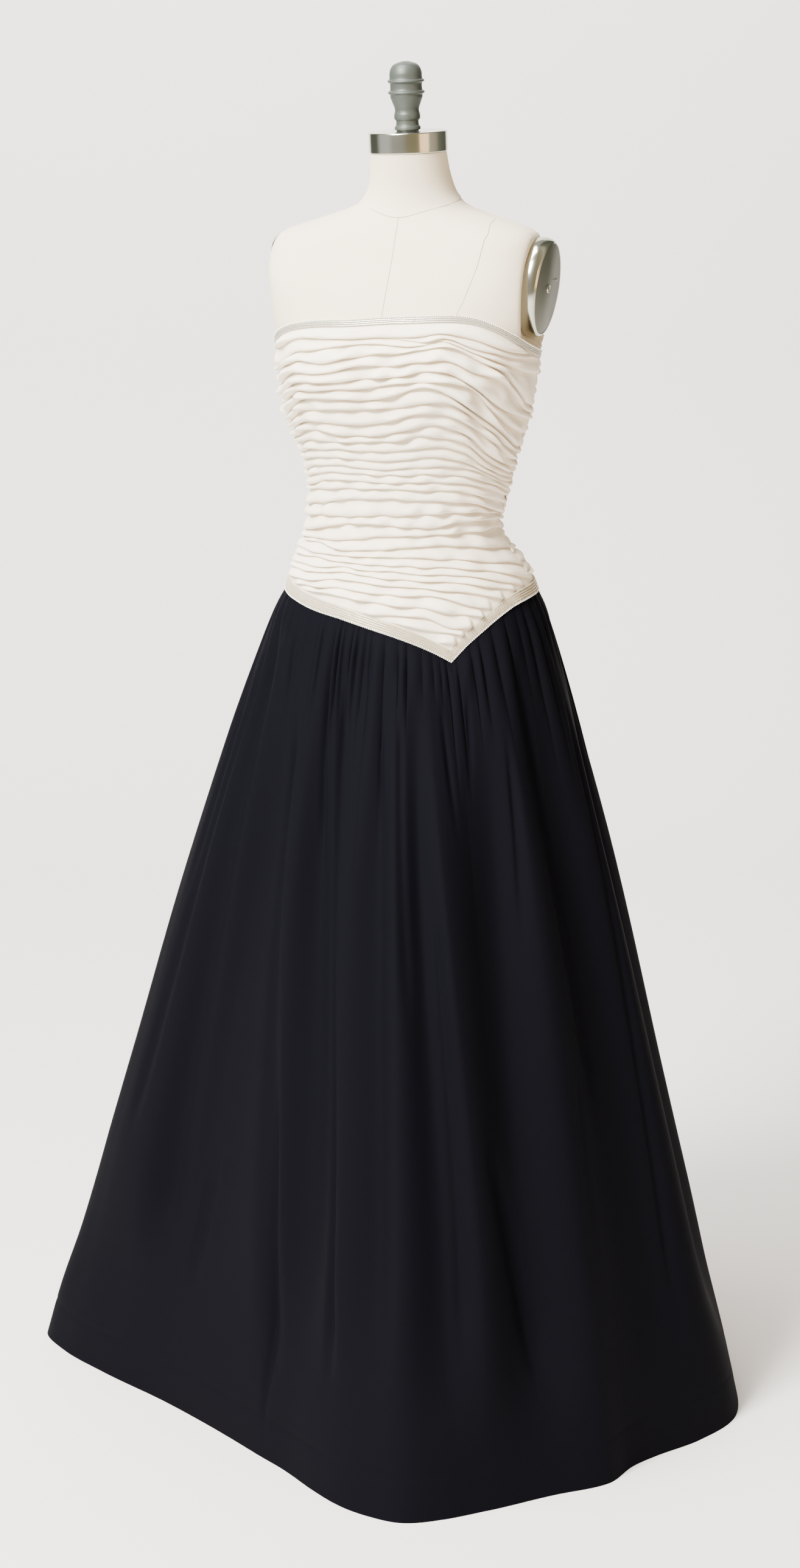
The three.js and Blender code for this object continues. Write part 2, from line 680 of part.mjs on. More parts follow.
function bodice() {
  const panels = [
    ["front", frontAngles],
    ["back_left", backLeftAngles],
    ["back_right", backRightAngles],
  ];
  panels.forEach(([name, angles]) => {
    add(`bodice_${name}`, bodicePanel(angles), whiteCrepe);
    const top = (angle) => topEdge(wrapped(angle));
    const seam = (angle) => seamHeight(angle) + seamGap / 2;
    add(`top_trim_${name}`, band(angles, top, (angle) => top(angle) - topTrimHeight), beading);
    add(`waist_trim_${name}`, band(angles, (angle) => seam(angle) + waistTrimHeight, seam), beading);
  });
}

function backPlacket() {
  const high = topEdge(180) - topTrimHeight - 2 * seamGap;
  const low = seamHeight(180) + waistTrimHeight + 2 * seamGap;
  const heights = spaced(high, low, placket.rows);
  const column = (x, out) =>
    heights.map((z) => overTorso(180, z, ease + bodiceWall + out).add(new THREE.Vector3(x, 0, 0)));
  const across = [-placket.halfWidth, placket.halfWidth];
  const outer = across.map((x) => column(x, seamGap + placket.wall));
  const inner = across.map((x) => column(x, seamGap));
  add("back_placket", wall(outer, inner), whiteCrepe);
}

// Skirt

const hemX = smooth(hemRows, "at", "x");
const hemY = smooth(hemRows, "at", "y");
const outShare = smooth(skirtProfile, "down", "out");

/** The direction, in degrees, of a fold's crest or valley some way down the skirt. */
const foldTrack = (row, part, down) =>
  THREE.MathUtils.lerp(
    row[`${part}Top`],
    row[`${part}Hem`],
    eased((down - foldRun.driftFrom) / foldRun.drift),
  );

/** How far the large folds stand in or out at a direction and a way down: crests out, valleys in. */
function largeFold(angle, down) {
  const stops = skirtFoldRows.flatMap((row) => {
    const faded = eased((down - row.end + foldRun.fadeBefore) / foldRun.fade);
    const size = eased(down / foldRun.grow) * THREE.MathUtils.lerp(1, foldRun.kept, faded);
    return [
      { at: foldTrack(row, "crest", down), out: (row.full + row.depth / 2) * size },
      { at: foldTrack(row, "valley", down), out: (row.full - row.depth / 2) * size },
    ];
  });
  const ring = [
    { ...stops[stops.length - 1], at: stops[stops.length - 1].at - 360 },
    ...stops,
    { ...stops[0], at: stops[0].at + 360 },
  ];
  const a = wrapped(angle) < ring[0].at ? wrapped(angle) + 360 : wrapped(angle);
  const i = Math.max(1, ring.findIndex((stop) => stop.at >= a));
  const [from, to] = [ring[i - 1], ring[i]];
  const t = (a - from.at) / (to.at - from.at);
  return THREE.MathUtils.lerp(from.out, to.out, eased(t));
}

/** How far the small gathers under the seam stand out. */
function smallGather(angle, down) {
  const wander = Math.sin(rad(angle) * gatherUneven.waves + gatherUneven.shift);
  const uneven = 1 - gatherUneven.share * (1 - wander);
  const fade = 1 - eased(down / (gathers.fade * uneven));
  const grow = THREE.MathUtils.lerp(gathers.atSeam, 1, eased(down / gathers.grow));
  const wave = Math.cos(gathers.count * rad(angle)) + gathers.puff;
  return (gathers.depth / 2) * wave * fade * grow * uneven;
}

/** A point of the skirt's outer face before any fold. */
function skirtBase(angle, down) {
  const a = wrapped(angle);
  const seam = seamHeight(angle) - seamGap / 2;
  const waist = around(angle, torsoRadius(angle, seam) + ease + bodiceWall, 0);
  const hem = new THREE.Vector3(hemX(a), hemY(a), 0);
  return waist.lerp(hem, outShare(down)).setZ(seam * (1 - down));
}

/** The level direction out of the skirt: straight from the axis at the seam, square to its ring below. */
function skirtOut(angle, down, place) {
  const step = 0.4;
  const along = place(angle + step, down).sub(place(angle - step, down)).setZ(0).normalize();
  const square = new THREE.Vector3(along.y, -along.x, 0);
  return around(angle, 1, 0).lerp(square, eased(down / skirtTurn)).normalize();
}

/** A point of the skirt's outer face with its folds. */
function skirtPoint(angle, down) {
  const out = largeFold(angle, down) + smallGather(angle, down);
  return skirtBase(angle, down).addScaledVector(skirtOut(angle, down, skirtBase), out);
}

/** A point of the skirt's inner face, a wall's thickness inside the outer one. */
const skirtInside = (angle, down) =>
  skirtPoint(angle, down).addScaledVector(skirtOut(angle, down, skirtPoint), -skirtWall);

/** Directions with the one nearest to a column of the bodice moved onto it. */
function onStop(angles, stop) {
  const reach = 180 / (gathers.count * gathers.stepsEach);
  return angles.map((angle) => (Math.abs(angle - stop) < reach ? stop : angle));
}

/** A panel of the skirt between two directions, with fine columns where it is gathered. */
function skirtPanel(from, to) {
  const even = spaced(from, to, Math.round(((to - from) / 360) * gathers.count) * gathers.stepsEach);
  const fine = seamStops.reduce((angles, stop) => onStop(angles, stop.at), even);
  const coarse = fine.filter((_, i) => i % coarseEvery === 0);
  const rows = [
    ...skirtFineRows.map((down) => [fine, down]),
    ...skirtCoarseRows.map((down) => [coarse, down]),
  ];
  const face = (place) =>
    rows.map(([angles, down]) => {
      const ring = angles.map((angle) => place(angle, down));
      const last = ring.length - 1;
      const nudge = (p, next) =>
        p.clone().addScaledVector(new THREE.Vector3().subVectors(next, p).setZ(0).normalize(), seamGap / 2);
      return [nudge(ring[0], ring[1]), ...ring.slice(1, last), nudge(ring[last], ring[last - 1])];
    });
  return wall(face(skirtPoint), face(skirtInside));
}

function skirt() {
  add("skirt_front", skirtPanel(-90, 90), blackTaffeta);
  add("skirt_back_left", skirtPanel(90, 180), blackTaffeta);
  add("skirt_back_right", skirtPanel(-180, -90), blackTaffeta);
}

dressForm();
stand();
bodice();
backPlacket();
skirt();

export default model;
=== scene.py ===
"""A strapless ball gown on a limbless dress form, dressed for its photograph.

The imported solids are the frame. Each class below holds the sizes of one sub-assembly in millimetres,
builds its fine meshes over the solids and dresses them. Directions run round the form's axis in degrees
from the front (0) towards the wearer's left (+90), so the centre back is 180 or -180.
"""

import json
import logging
import math
from dataclasses import dataclass, field
from enum import Enum
from typing import Callable, NamedTuple, Sequence

import bpy
import numpy as np
from mathutils import Matrix
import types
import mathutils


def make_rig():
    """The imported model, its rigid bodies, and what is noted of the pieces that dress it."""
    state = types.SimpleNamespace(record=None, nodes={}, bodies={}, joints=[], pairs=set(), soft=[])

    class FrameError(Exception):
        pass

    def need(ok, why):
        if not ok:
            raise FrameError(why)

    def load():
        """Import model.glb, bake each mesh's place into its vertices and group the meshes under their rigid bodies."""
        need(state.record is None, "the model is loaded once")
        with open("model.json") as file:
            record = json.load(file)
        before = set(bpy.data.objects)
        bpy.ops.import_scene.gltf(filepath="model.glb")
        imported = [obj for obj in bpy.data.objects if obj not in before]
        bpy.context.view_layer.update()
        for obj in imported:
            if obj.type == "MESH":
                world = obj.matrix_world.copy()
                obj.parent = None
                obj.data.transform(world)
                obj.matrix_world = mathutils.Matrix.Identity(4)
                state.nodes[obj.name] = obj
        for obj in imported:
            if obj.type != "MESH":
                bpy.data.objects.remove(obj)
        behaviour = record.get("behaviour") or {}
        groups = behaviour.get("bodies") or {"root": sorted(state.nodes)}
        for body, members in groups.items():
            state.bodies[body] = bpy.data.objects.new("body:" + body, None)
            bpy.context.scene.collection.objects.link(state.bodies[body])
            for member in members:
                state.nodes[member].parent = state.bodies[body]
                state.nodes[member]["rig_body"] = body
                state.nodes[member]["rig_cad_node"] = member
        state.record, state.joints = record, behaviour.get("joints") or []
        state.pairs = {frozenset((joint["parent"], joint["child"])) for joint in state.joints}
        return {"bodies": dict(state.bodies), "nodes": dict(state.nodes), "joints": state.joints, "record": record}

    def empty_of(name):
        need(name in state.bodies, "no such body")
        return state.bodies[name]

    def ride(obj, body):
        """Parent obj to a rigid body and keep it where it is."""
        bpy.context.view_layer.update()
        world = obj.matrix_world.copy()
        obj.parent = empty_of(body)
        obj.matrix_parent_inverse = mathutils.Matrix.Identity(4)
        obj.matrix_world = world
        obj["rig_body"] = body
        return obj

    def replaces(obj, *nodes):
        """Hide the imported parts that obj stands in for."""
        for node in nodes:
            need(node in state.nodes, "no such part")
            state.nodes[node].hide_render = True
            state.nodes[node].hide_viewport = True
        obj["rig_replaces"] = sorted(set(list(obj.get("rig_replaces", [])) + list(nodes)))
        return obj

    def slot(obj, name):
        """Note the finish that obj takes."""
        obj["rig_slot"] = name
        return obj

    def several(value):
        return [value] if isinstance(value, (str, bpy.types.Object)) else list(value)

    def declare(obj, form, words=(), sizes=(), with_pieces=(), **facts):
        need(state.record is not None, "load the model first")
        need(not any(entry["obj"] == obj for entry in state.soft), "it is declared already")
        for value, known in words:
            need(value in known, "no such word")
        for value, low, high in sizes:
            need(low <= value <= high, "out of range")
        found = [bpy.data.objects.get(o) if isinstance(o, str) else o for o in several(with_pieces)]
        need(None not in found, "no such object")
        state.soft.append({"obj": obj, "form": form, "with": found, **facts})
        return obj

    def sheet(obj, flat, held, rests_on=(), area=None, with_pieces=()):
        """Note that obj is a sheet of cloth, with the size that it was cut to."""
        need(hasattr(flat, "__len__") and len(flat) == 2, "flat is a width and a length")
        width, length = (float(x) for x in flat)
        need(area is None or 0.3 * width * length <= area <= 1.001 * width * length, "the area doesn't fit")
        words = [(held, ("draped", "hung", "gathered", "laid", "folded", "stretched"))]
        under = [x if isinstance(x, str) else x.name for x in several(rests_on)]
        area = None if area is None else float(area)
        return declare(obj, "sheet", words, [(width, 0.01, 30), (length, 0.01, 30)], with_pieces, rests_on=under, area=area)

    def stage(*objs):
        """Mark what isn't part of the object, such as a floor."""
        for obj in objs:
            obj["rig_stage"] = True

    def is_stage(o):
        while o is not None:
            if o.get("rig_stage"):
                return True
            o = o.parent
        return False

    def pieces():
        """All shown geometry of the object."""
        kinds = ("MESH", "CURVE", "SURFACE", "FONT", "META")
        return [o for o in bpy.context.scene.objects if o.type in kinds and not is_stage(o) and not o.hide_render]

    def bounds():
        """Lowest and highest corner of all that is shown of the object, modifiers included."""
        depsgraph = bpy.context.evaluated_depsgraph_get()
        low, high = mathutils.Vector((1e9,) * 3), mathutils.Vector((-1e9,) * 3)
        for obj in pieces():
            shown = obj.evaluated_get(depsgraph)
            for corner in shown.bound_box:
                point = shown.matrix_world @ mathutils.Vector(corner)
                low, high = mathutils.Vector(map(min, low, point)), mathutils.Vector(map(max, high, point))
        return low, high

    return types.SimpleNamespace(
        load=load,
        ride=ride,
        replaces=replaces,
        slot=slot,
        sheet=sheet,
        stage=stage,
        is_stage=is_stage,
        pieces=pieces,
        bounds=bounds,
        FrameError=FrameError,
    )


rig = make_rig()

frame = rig.load()
CAD_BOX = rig.bounds()

logging.basicConfig(level=logging.INFO, format="%(levelname)s %(message)s")
log = logging.getLogger("gown")

Array = np.ndarray
Heights = Callable[[Array], Array]
MM = 0.001
BODY = "root"
SEED = 1987


class Slot(Enum):
    """The record's material slots."""

    JERSEY = "form_jersey"
    STEEL = "polished_steel"
    FINIAL = "cast_finial"
    IRON = "stand_iron"
    CREPE = "bodice_crepe"
    BEADING = "beaded_trim"
    TAFFETA = "skirt_taffeta"


class Hold(Enum):
    """How a sheet of cloth is held."""

    GATHERED = "gathered"
    LAID = "laid"


class Side(Enum):
    """The wearer's two sides, each with the sign of its x."""

    LEFT = 1
    RIGHT = -1


# Shared mathematics


def eased(x: Array) -> Array:
    """A smooth step from 0 to 1 while x goes from 0 to 1."""
    t = np.clip(x, 0.0, 1.0)
    return t * t * (3 - 2 * t)


def mix(a: Array, b: Array, t: Array) -> Array:
    """The value a share t of the way from a to b."""
    return a + (b - a) * t


def wrapped(angle: Array) -> Array:
    """Angles brought into the range from -180 up to 180."""
    return (np.asarray(angle, float) + 180) % 360 - 180


def softer_min(a: Array, b: Array, soft: float) -> Array:
    """The smaller of two values, with a rounded change from one to the other over a distance."""
    return np.minimum(a, b) - soft * np.log1p(np.exp(-np.abs(a - b) / soft))


def around(angle: Array, radius: Array, z: Array) -> Array:
    """Points round the form's axis.

    Args:
        angle: their directions.
        radius: their distances from the axis.
        z: their heights.

    Returns:
        The points, with the coordinates in the last dimension.
    """
    a = np.radians(angle)
    x, y, z = np.broadcast_arrays(radius * np.sin(a), -radius * np.cos(a), z)
    return np.stack([x, y, z], axis=-1)


def turned(radius: Array, z: Array, sides: int) -> Array:
    """The rings of a turned piece.

    Args:
        radius: the radius of each ring.
        z: the height of each ring, from the top down.
        sides: how many points a ring has.

    Returns:
        The points, a ring in each row.
    """
    angle = np.linspace(-180, 180, sides, endpoint=False)[None]
    return around(angle, np.asarray(radius)[:, None], np.asarray(z)[:, None])


def unit(vectors: Array) -> Array:
    """The same vectors at length 1."""
    return vectors / np.maximum(np.linalg.norm(vectors, axis=-1, keepdims=True), 1e-12)


def table(kind: Callable, *rows: Sequence) -> tuple:
    """Rows of plain values as a table of one kind of named tuple."""
    return tuple(kind(*row) for row in rows)


class Line:
    """A smooth line through a table's rows, cubic between them and level past its ends."""

    def __init__(self, keys: Sequence[float], values: Sequence[float]) -> None:
        """Sorts the table and works out its slopes.

        Args:
            keys: the row of each value, in any order.
            values: the value at each key.
        """
        order = np.argsort(keys)
        self.keys = np.asarray(keys, float)[order]
        self.values = np.asarray(values, float)[order]
        last = len(self.keys) - 1
        after = np.minimum(np.arange(last + 1) + 1, last)
        before = np.maximum(np.arange(last + 1) - 1, 0)
        rise = self.values[after] - self.values[before]
        self.slopes = rise / (self.keys[after] - self.keys[before])

    def __call__(self, x: Array) -> Array:
        """Reads the line.

        Args:
            x: places in the keys' measure.

        Returns:
            The value at each place.
        """
        i = np.clip(np.searchsorted(self.keys, x, side="right") - 1, 0, len(self.keys) - 2)
        span = self.keys[i + 1] - self.keys[i]
        t = np.clip((x - self.keys[i]) / span, 0, 1)
        t2, t3 = t * t, t * t * t
        start = (2 * t3 - 3 * t2 + 1) * self.values[i] + (t3 - 2 * t2 + t) * span * self.slopes[i]
        end = (3 * t2 - 2 * t3) * self.values[i + 1] + (t3 - t2) * span * self.slopes[i + 1]
        return start + end


class Ripple:
    """Slow, uneven waves over one or two directions, the same on every run."""

    def __init__(self, seed: int, *waves: float, count: int = 6) -> None:
        """Draws the waves.

        Args:
            seed: chooses them.
            waves: the usual length of a wave along each direction.
            count: how many are laid over each other.
        """
        draw = np.random.default_rng(seed)
        self.pace = [2 * math.pi / w * draw.uniform(0.5, 1.7, count) for w in waves]
        self.lean = [draw.choice([-1, 1], count) for _ in waves]
        self.shift = draw.uniform(0, 2 * math.pi, count)

    def __call__(self, *places: Array) -> Array:
        """Adds the waves up.

        Args:
            places: where, along each direction.

        Returns:
            Their height there, mostly between -1 and 1.
        """
        total = 0.0
        for k, shift in enumerate(self.shift):
            turn = sum(p * pace[k] * lean[k] for p, pace, lean in zip(places, self.pace, self.lean))
            total = total + np.sin(turn + shift)
        return total / math.sqrt(len(self.shift))


# Meshes


def in_scene(name: str, data: bpy.types.ID) -> bpy.types.Object:
    """Makes an object and links it to the scene.

    Args:
        name: its name.
        data: its mesh, lamp or camera.

    Returns:
        The object.
    """
    piece = bpy.data.objects.new(name, data)
    bpy.context.scene.collection.objects.link(piece)
    return piece


class Shape:
    """Points and faces gathered into one mesh."""

    def __init__(self) -> None:
        """Starts empty."""
        self.points: list[Array] = []
        self.faces: list[tuple[int, ...]] = []
        self.size = 0

    def place(self, points: Array) -> Array:
        """Adds points in millimetres.

        Args:
            points: an array of points of any layout.

        Returns:
            The points' numbers, in the same layout.
        """
        flat = points.reshape(-1, 3)
        numbers = np.arange(self.size, self.size + len(flat)).reshape(points.shape[:-1])
        self.points.append(flat)
        self.size += len(flat)
        return numbers

    def cover(self, numbers: Array, turned: bool = False) -> None:
        """Adds the quads of a grid whose rows run down and whose columns run to the wearer's left.

        Args:
            numbers: the grid's point numbers.
            turned: whether the faces look the other way.
        """
        a, b, c, d = numbers[:-1, :-1], numbers[1:, :-1], numbers[1:, 1:], numbers[:-1, 1:]
        quads = np.stack([a, d, c, b] if turned else [a, b, c, d], axis=-1).reshape(-1, 4)
        self.faces.extend(map(tuple, quads.tolist()))

    def bridge(self, first: Array, second: Array, turned: bool = False) -> None:
        """Adds triangles between two strings of points that run down, each with any number of points.

        Args:
            first: the numbers of one string.
            second: the numbers of the other.
            turned: whether the faces look the other way.
        """
        points = np.concatenate(self.points)
        near, far = (np.maximum.accumulate(-points[string][:, 2]) for string in (first, second))
        i = j = 0
        last, end = len(first) - 1, len(second) - 1
        while i < last or j < end:
            if j >= end or (i < last and near[i + 1] <= far[j + 1]):
                face = (int(first[i]), int(second[j]), int(first[i + 1]))
                i += 1
            else:
                face = (int(first[i]), int(second[j]), int(second[j + 1]))
                j += 1
            self.faces.append(face[::-1] if turned else face)

    def fan(self, ring: Array, turned: bool = False) -> None:
        """Closes a ring with triangles to its middle.

        Args:
            ring: the ring's point numbers.
            turned: whether the faces look the other way.
        """
        points = np.concatenate(self.points)[ring]
        middle = int(self.place(points.mean(axis=0)[None])[0])
        for a, b in zip(ring, np.roll(ring, -1)):
            face = (middle, int(a), int(b))
            self.faces.append(face[::-1] if turned else face)

    def wall(self, outer: Array, inner: Array) -> None:
        """Adds a closed wall between an outer and an inner grid with the same columns.

        Args:
            outer: the points of the face that shows.
            inner: the points of the face behind it.
        """
        out, back = self.place(outer), self.place(inner)
        self.cover(out)
        self.cover(back, turned=True)
        self.cover(np.stack([back[0], out[0]]))
        self.cover(np.stack([out[-1], back[-1]]))
        self.bridge(out[:, 0], back[:, 0])
        self.bridge(out[:, -1], back[:, -1], turned=True)

    def loft(self, rings: Array) -> None:
        """Adds a solid closed flat at the top and bottom.

        Args:
            rings: a ring of points in each row, from the top down.
        """
        looped = self.place(rings)
        self.cover(np.concatenate([looped, looped[:, :1]], axis=1))
        self.fan(looped[0])
        self.fan(looped[-1], turned=True)

    def tube(self, path: Array, radius: float, sides: int) -> None:
        """Adds a closed round cord along a path.

        Args:
            path: the points that its middle follows.
            radius: half its thickness.
            sides: how many faces it has round it.
        """
        along = unit(np.gradient(path, axis=0))
        across = unit(np.cross(along, np.array([0.31, 0.17, 0.93])))
        up = np.cross(across, along)
        turn = np.linspace(0, 2 * math.pi, sides, endpoint=False)[None, :, None]
        rings = path[:, None] + radius * (across[:, None] * np.cos(turn) + up[:, None] * np.sin(turn))
        self.loft(rings)

    def finish(self, name: str, crease: float = 50.0) -> bpy.types.Object:
        """Makes the mesh and its object.

        Args:
            name: the piece's name.
            crease: edges that turn more degrees than this look sharp.

        Returns:
            The object, at the origin.
        """
        mesh = bpy.data.meshes.new(name)
        mesh.from_pydata((np.concatenate(self.points) * MM).tolist(), [], self.faces)
        mesh.validate()
        mesh.shade_smooth()
        mesh.set_sharp_from_angle(angle=math.radians(crease))
        mesh.update()
        return in_scene(name, mesh)


def dress(
    piece: bpy.types.Object, material: bpy.types.Material, slot: Slot, replaced: Sequence[str] = ()
) -> bpy.types.Object:
    """Gives a finished piece its material and tells the frame what it stands for.

    Args:
        piece: the object.
        material: its finish.
        slot: the record's slot that the finish belongs to.
        replaced: the solids that it stands for.

    Returns:
        The same object.
    """
    piece.data.materials.clear()
    piece.data.materials.append(material)
    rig.ride(piece, BODY)
    if replaced:
        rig.replaces(piece, *replaced)
    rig.slot(piece, slot.value)
    log.info("%s: %d faces", piece.name, len(piece.data.polygons))
    return piece


# Finishes


def linear(code: str) -> tuple[float, float, float, float]:
    """Turns a colour to linear values.

    Args:
        code: the sRGB colour as a hex code.

    Returns:
        Its red, green, blue and alpha.
    """
    parts = [int(code[i : i + 2], 16) / 255 for i in (1, 3, 5)]
    bent = [c / 12.92 if c <= 0.04045 else ((c + 0.055) / 1.055) ** 2.4 for c in parts]
    return bent[0], bent[1], bent[2], 1.0


def add_node(
    tree: bpy.types.NodeTree, kind: str, settings: dict | None = None, inputs: dict | None = None
) -> bpy.types.Node:
    """Adds a node to a tree.

    Args:
        tree: the material's or geometry's tree.
        kind: the node's type.
        settings: its properties by name.
        inputs: for each input, by name or number, a value or another node's output.

    Returns:
        The node.
    """
    node = tree.nodes.new(kind)
    for name, value in (settings or {}).items():
        setattr(node, name, value)
    for name, value in (inputs or {}).items():
        if isinstance(value, bpy.types.NodeSocket):
            tree.links.new(value, node.inputs[name])
        else:
            node.inputs[name].default_value = value
    return node


@dataclass(frozen=True)
class Finish:
    """A finish of one of the gown's or the form's surfaces: constants on the shader, patterns by nodes."""

    name: str
    shade: str
    roughness: float
    metallic: float = 0.0
    ior: float = 1.5
    specular: float = 0.5
    other_shade: str = ""
    patch_mm: float = 60.0
    grain_mm: float = 1.0
    grain_depth_mm: float = 0.05

    def build(self) -> bpy.types.Material:
        """Makes the material.

        Returns:
            A material with a grain in its surface and, where it has a second shade, soft patches of it.
        """
        material = bpy.data.materials.new(self.name)
        material.use_nodes = True
        tree = material.node_tree
        shader = tree.nodes["Principled BSDF"]
        constants = {
            "Base Color": linear(self.shade),
            "Roughness": self.roughness,
            "Metallic": self.metallic,
            "IOR": self.ior,
            "Specular IOR Level": self.specular,
        }
        for name, value in constants.items():
            shader.inputs[name].default_value = value
        place = add_node(tree, "ShaderNodeTexCoord").outputs["Object"]
        self.paint(tree, shader, place)
        self.roughen(tree, shader, place)
        return material

    def paint(self, tree: bpy.types.NodeTree, shader: bpy.types.Node, place: bpy.types.NodeSocket) -> None:
        """Lays soft patches of the second shade over the first.

        Args:
            tree: the material's nodes.
            shader: its shader.
            place: the object's coordinates.
        """
        if not self.other_shade:
            return
        size = {"Vector": place, "Scale": 1 / (self.patch_mm * MM), "Detail": 3.0, "Roughness": 0.55}
        patches = add_node(tree, "ShaderNodeTexNoise", inputs=size)
        shades = {"Factor": patches.outputs["Fac"], 6: linear(self.shade), 7: linear(self.other_shade)}
        tint = add_node(tree, "ShaderNodeMix", {"data_type": "RGBA"}, shades)
        tree.links.new(tint.outputs[2], shader.inputs["Base Color"])

    def roughen(
        self, tree: bpy.types.NodeTree, shader: bpy.types.Node, place: bpy.types.NodeSocket
    ) -> None:
        """Raises the surface's grain.

        Args:
            tree: the material's nodes.
            shader: its shader.
            place: the object's coordinates.
        """
        size = {"Vector": place, "Scale": (1 / (self.grain_mm * MM),) * 3}
        scaled = add_node(tree, "ShaderNodeMapping", inputs=size).outputs["Vector"]
        noise = {"Vector": scaled, "Scale": 1.0, "Detail": 2.0}
        grain = add_node(tree, "ShaderNodeTexNoise", inputs=noise).outputs["Fac"]
        depth = {"Height": grain, "Distance": self.grain_depth_mm * MM, "Strength": 1.0}
        bump = add_node(tree, "ShaderNodeBump", inputs=depth)
        tree.links.new(bump.outputs["Normal"], shader.inputs["Normal"])


# Cotton jersey, knitted fine and pulled tight: matt cream with a faint loop grain
JERSEY = Finish("cotton jersey", "#d8ccb4", 0.88, specular=0.15, other_shade="#ddd2bd", grain_mm=1.4)
# Jersey seams, turned in: the same cloth, darker because they hold shade
SEAM = Finish("jersey seam", "#a1988a", 0.9, specular=0.1, grain_mm=1.0)
# Polished steel: mirror-like, with the faint waves that polishing leaves
STEEL = Finish("polished steel", "#bdbdb0", 0.16, 1.0, grain_mm=14, grain_depth_mm=0.03)
# Brushed steel of the plates' flat faces: grey and soft
BRUSHED = Finish("brushed steel", "#66685c", 0.42, 0.75, grain_mm=2.0, grain_depth_mm=0.02)
# Cast zinc, tumbled satin: grey, with soft lights
CAST = Finish("cast zinc", "#3f4540", 0.48, 0.3, grain_mm=1.6, grain_depth_mm=0.02)
# Black enamel on cast iron: dark, slightly orange-peeled
ENAMEL = Finish("black enamel on cast iron", "#2a2b2d", 0.4, grain_mm=3.0, grain_depth_mm=0.08)
# Silk crepe: warm white and matt, with a pebbled grain drawn a little coarse so that it shows
CREPE = Finish(
    "silk crepe", "#eadfcc", 0.8, specular=0.2, other_shade="#eee5d5", grain_mm=1.3, grain_depth_mm=0.09
)
# Net tape under the beads: pale beige
NET = Finish("net tape", "#b3ab99", 0.8, specular=0.2, grain_mm=1.0, grain_depth_mm=0.15)
# Silver-lined glass: bright grey
SILVER_BEAD = Finish("silver-lined glass", "#b9bab2", 0.22, 0.6, other_shade="#efece0", patch_mm=3)
# Champagne glass: cream with golden glints
CHAMPAGNE_BEAD = Finish("champagne glass", "#efe7d0", 0.24, 0.3, other_shade="#a68f68", patch_mm=7)
# Milk glass: opaque white
MILK_BEAD = Finish("milk glass", "#f4f2ea", 0.2, 0.1)
# Silk taffeta: blue-black, with a low soft sheen from its crisp weave
TAFFETA = Finish(
    "silk taffeta", "#06060b", 0.8, specular=0.03, other_shade="#07070c", patch_mm=300, grain_mm=1.4
)
# Seamless paper of the floor and wall
PAPER = Finish("backdrop paper", "#e9e6e4", 0.9, other_shade="#e4e1df", patch_mm=900, grain_mm=8)


# The form's surface and the gown's edges


class Section(NamedTuple):
    """A level section of the form: half width, depths to front and back, its centre, and its power."""

    z: float
    side: float
    front: float
    back: float
    centre: float
    square: float


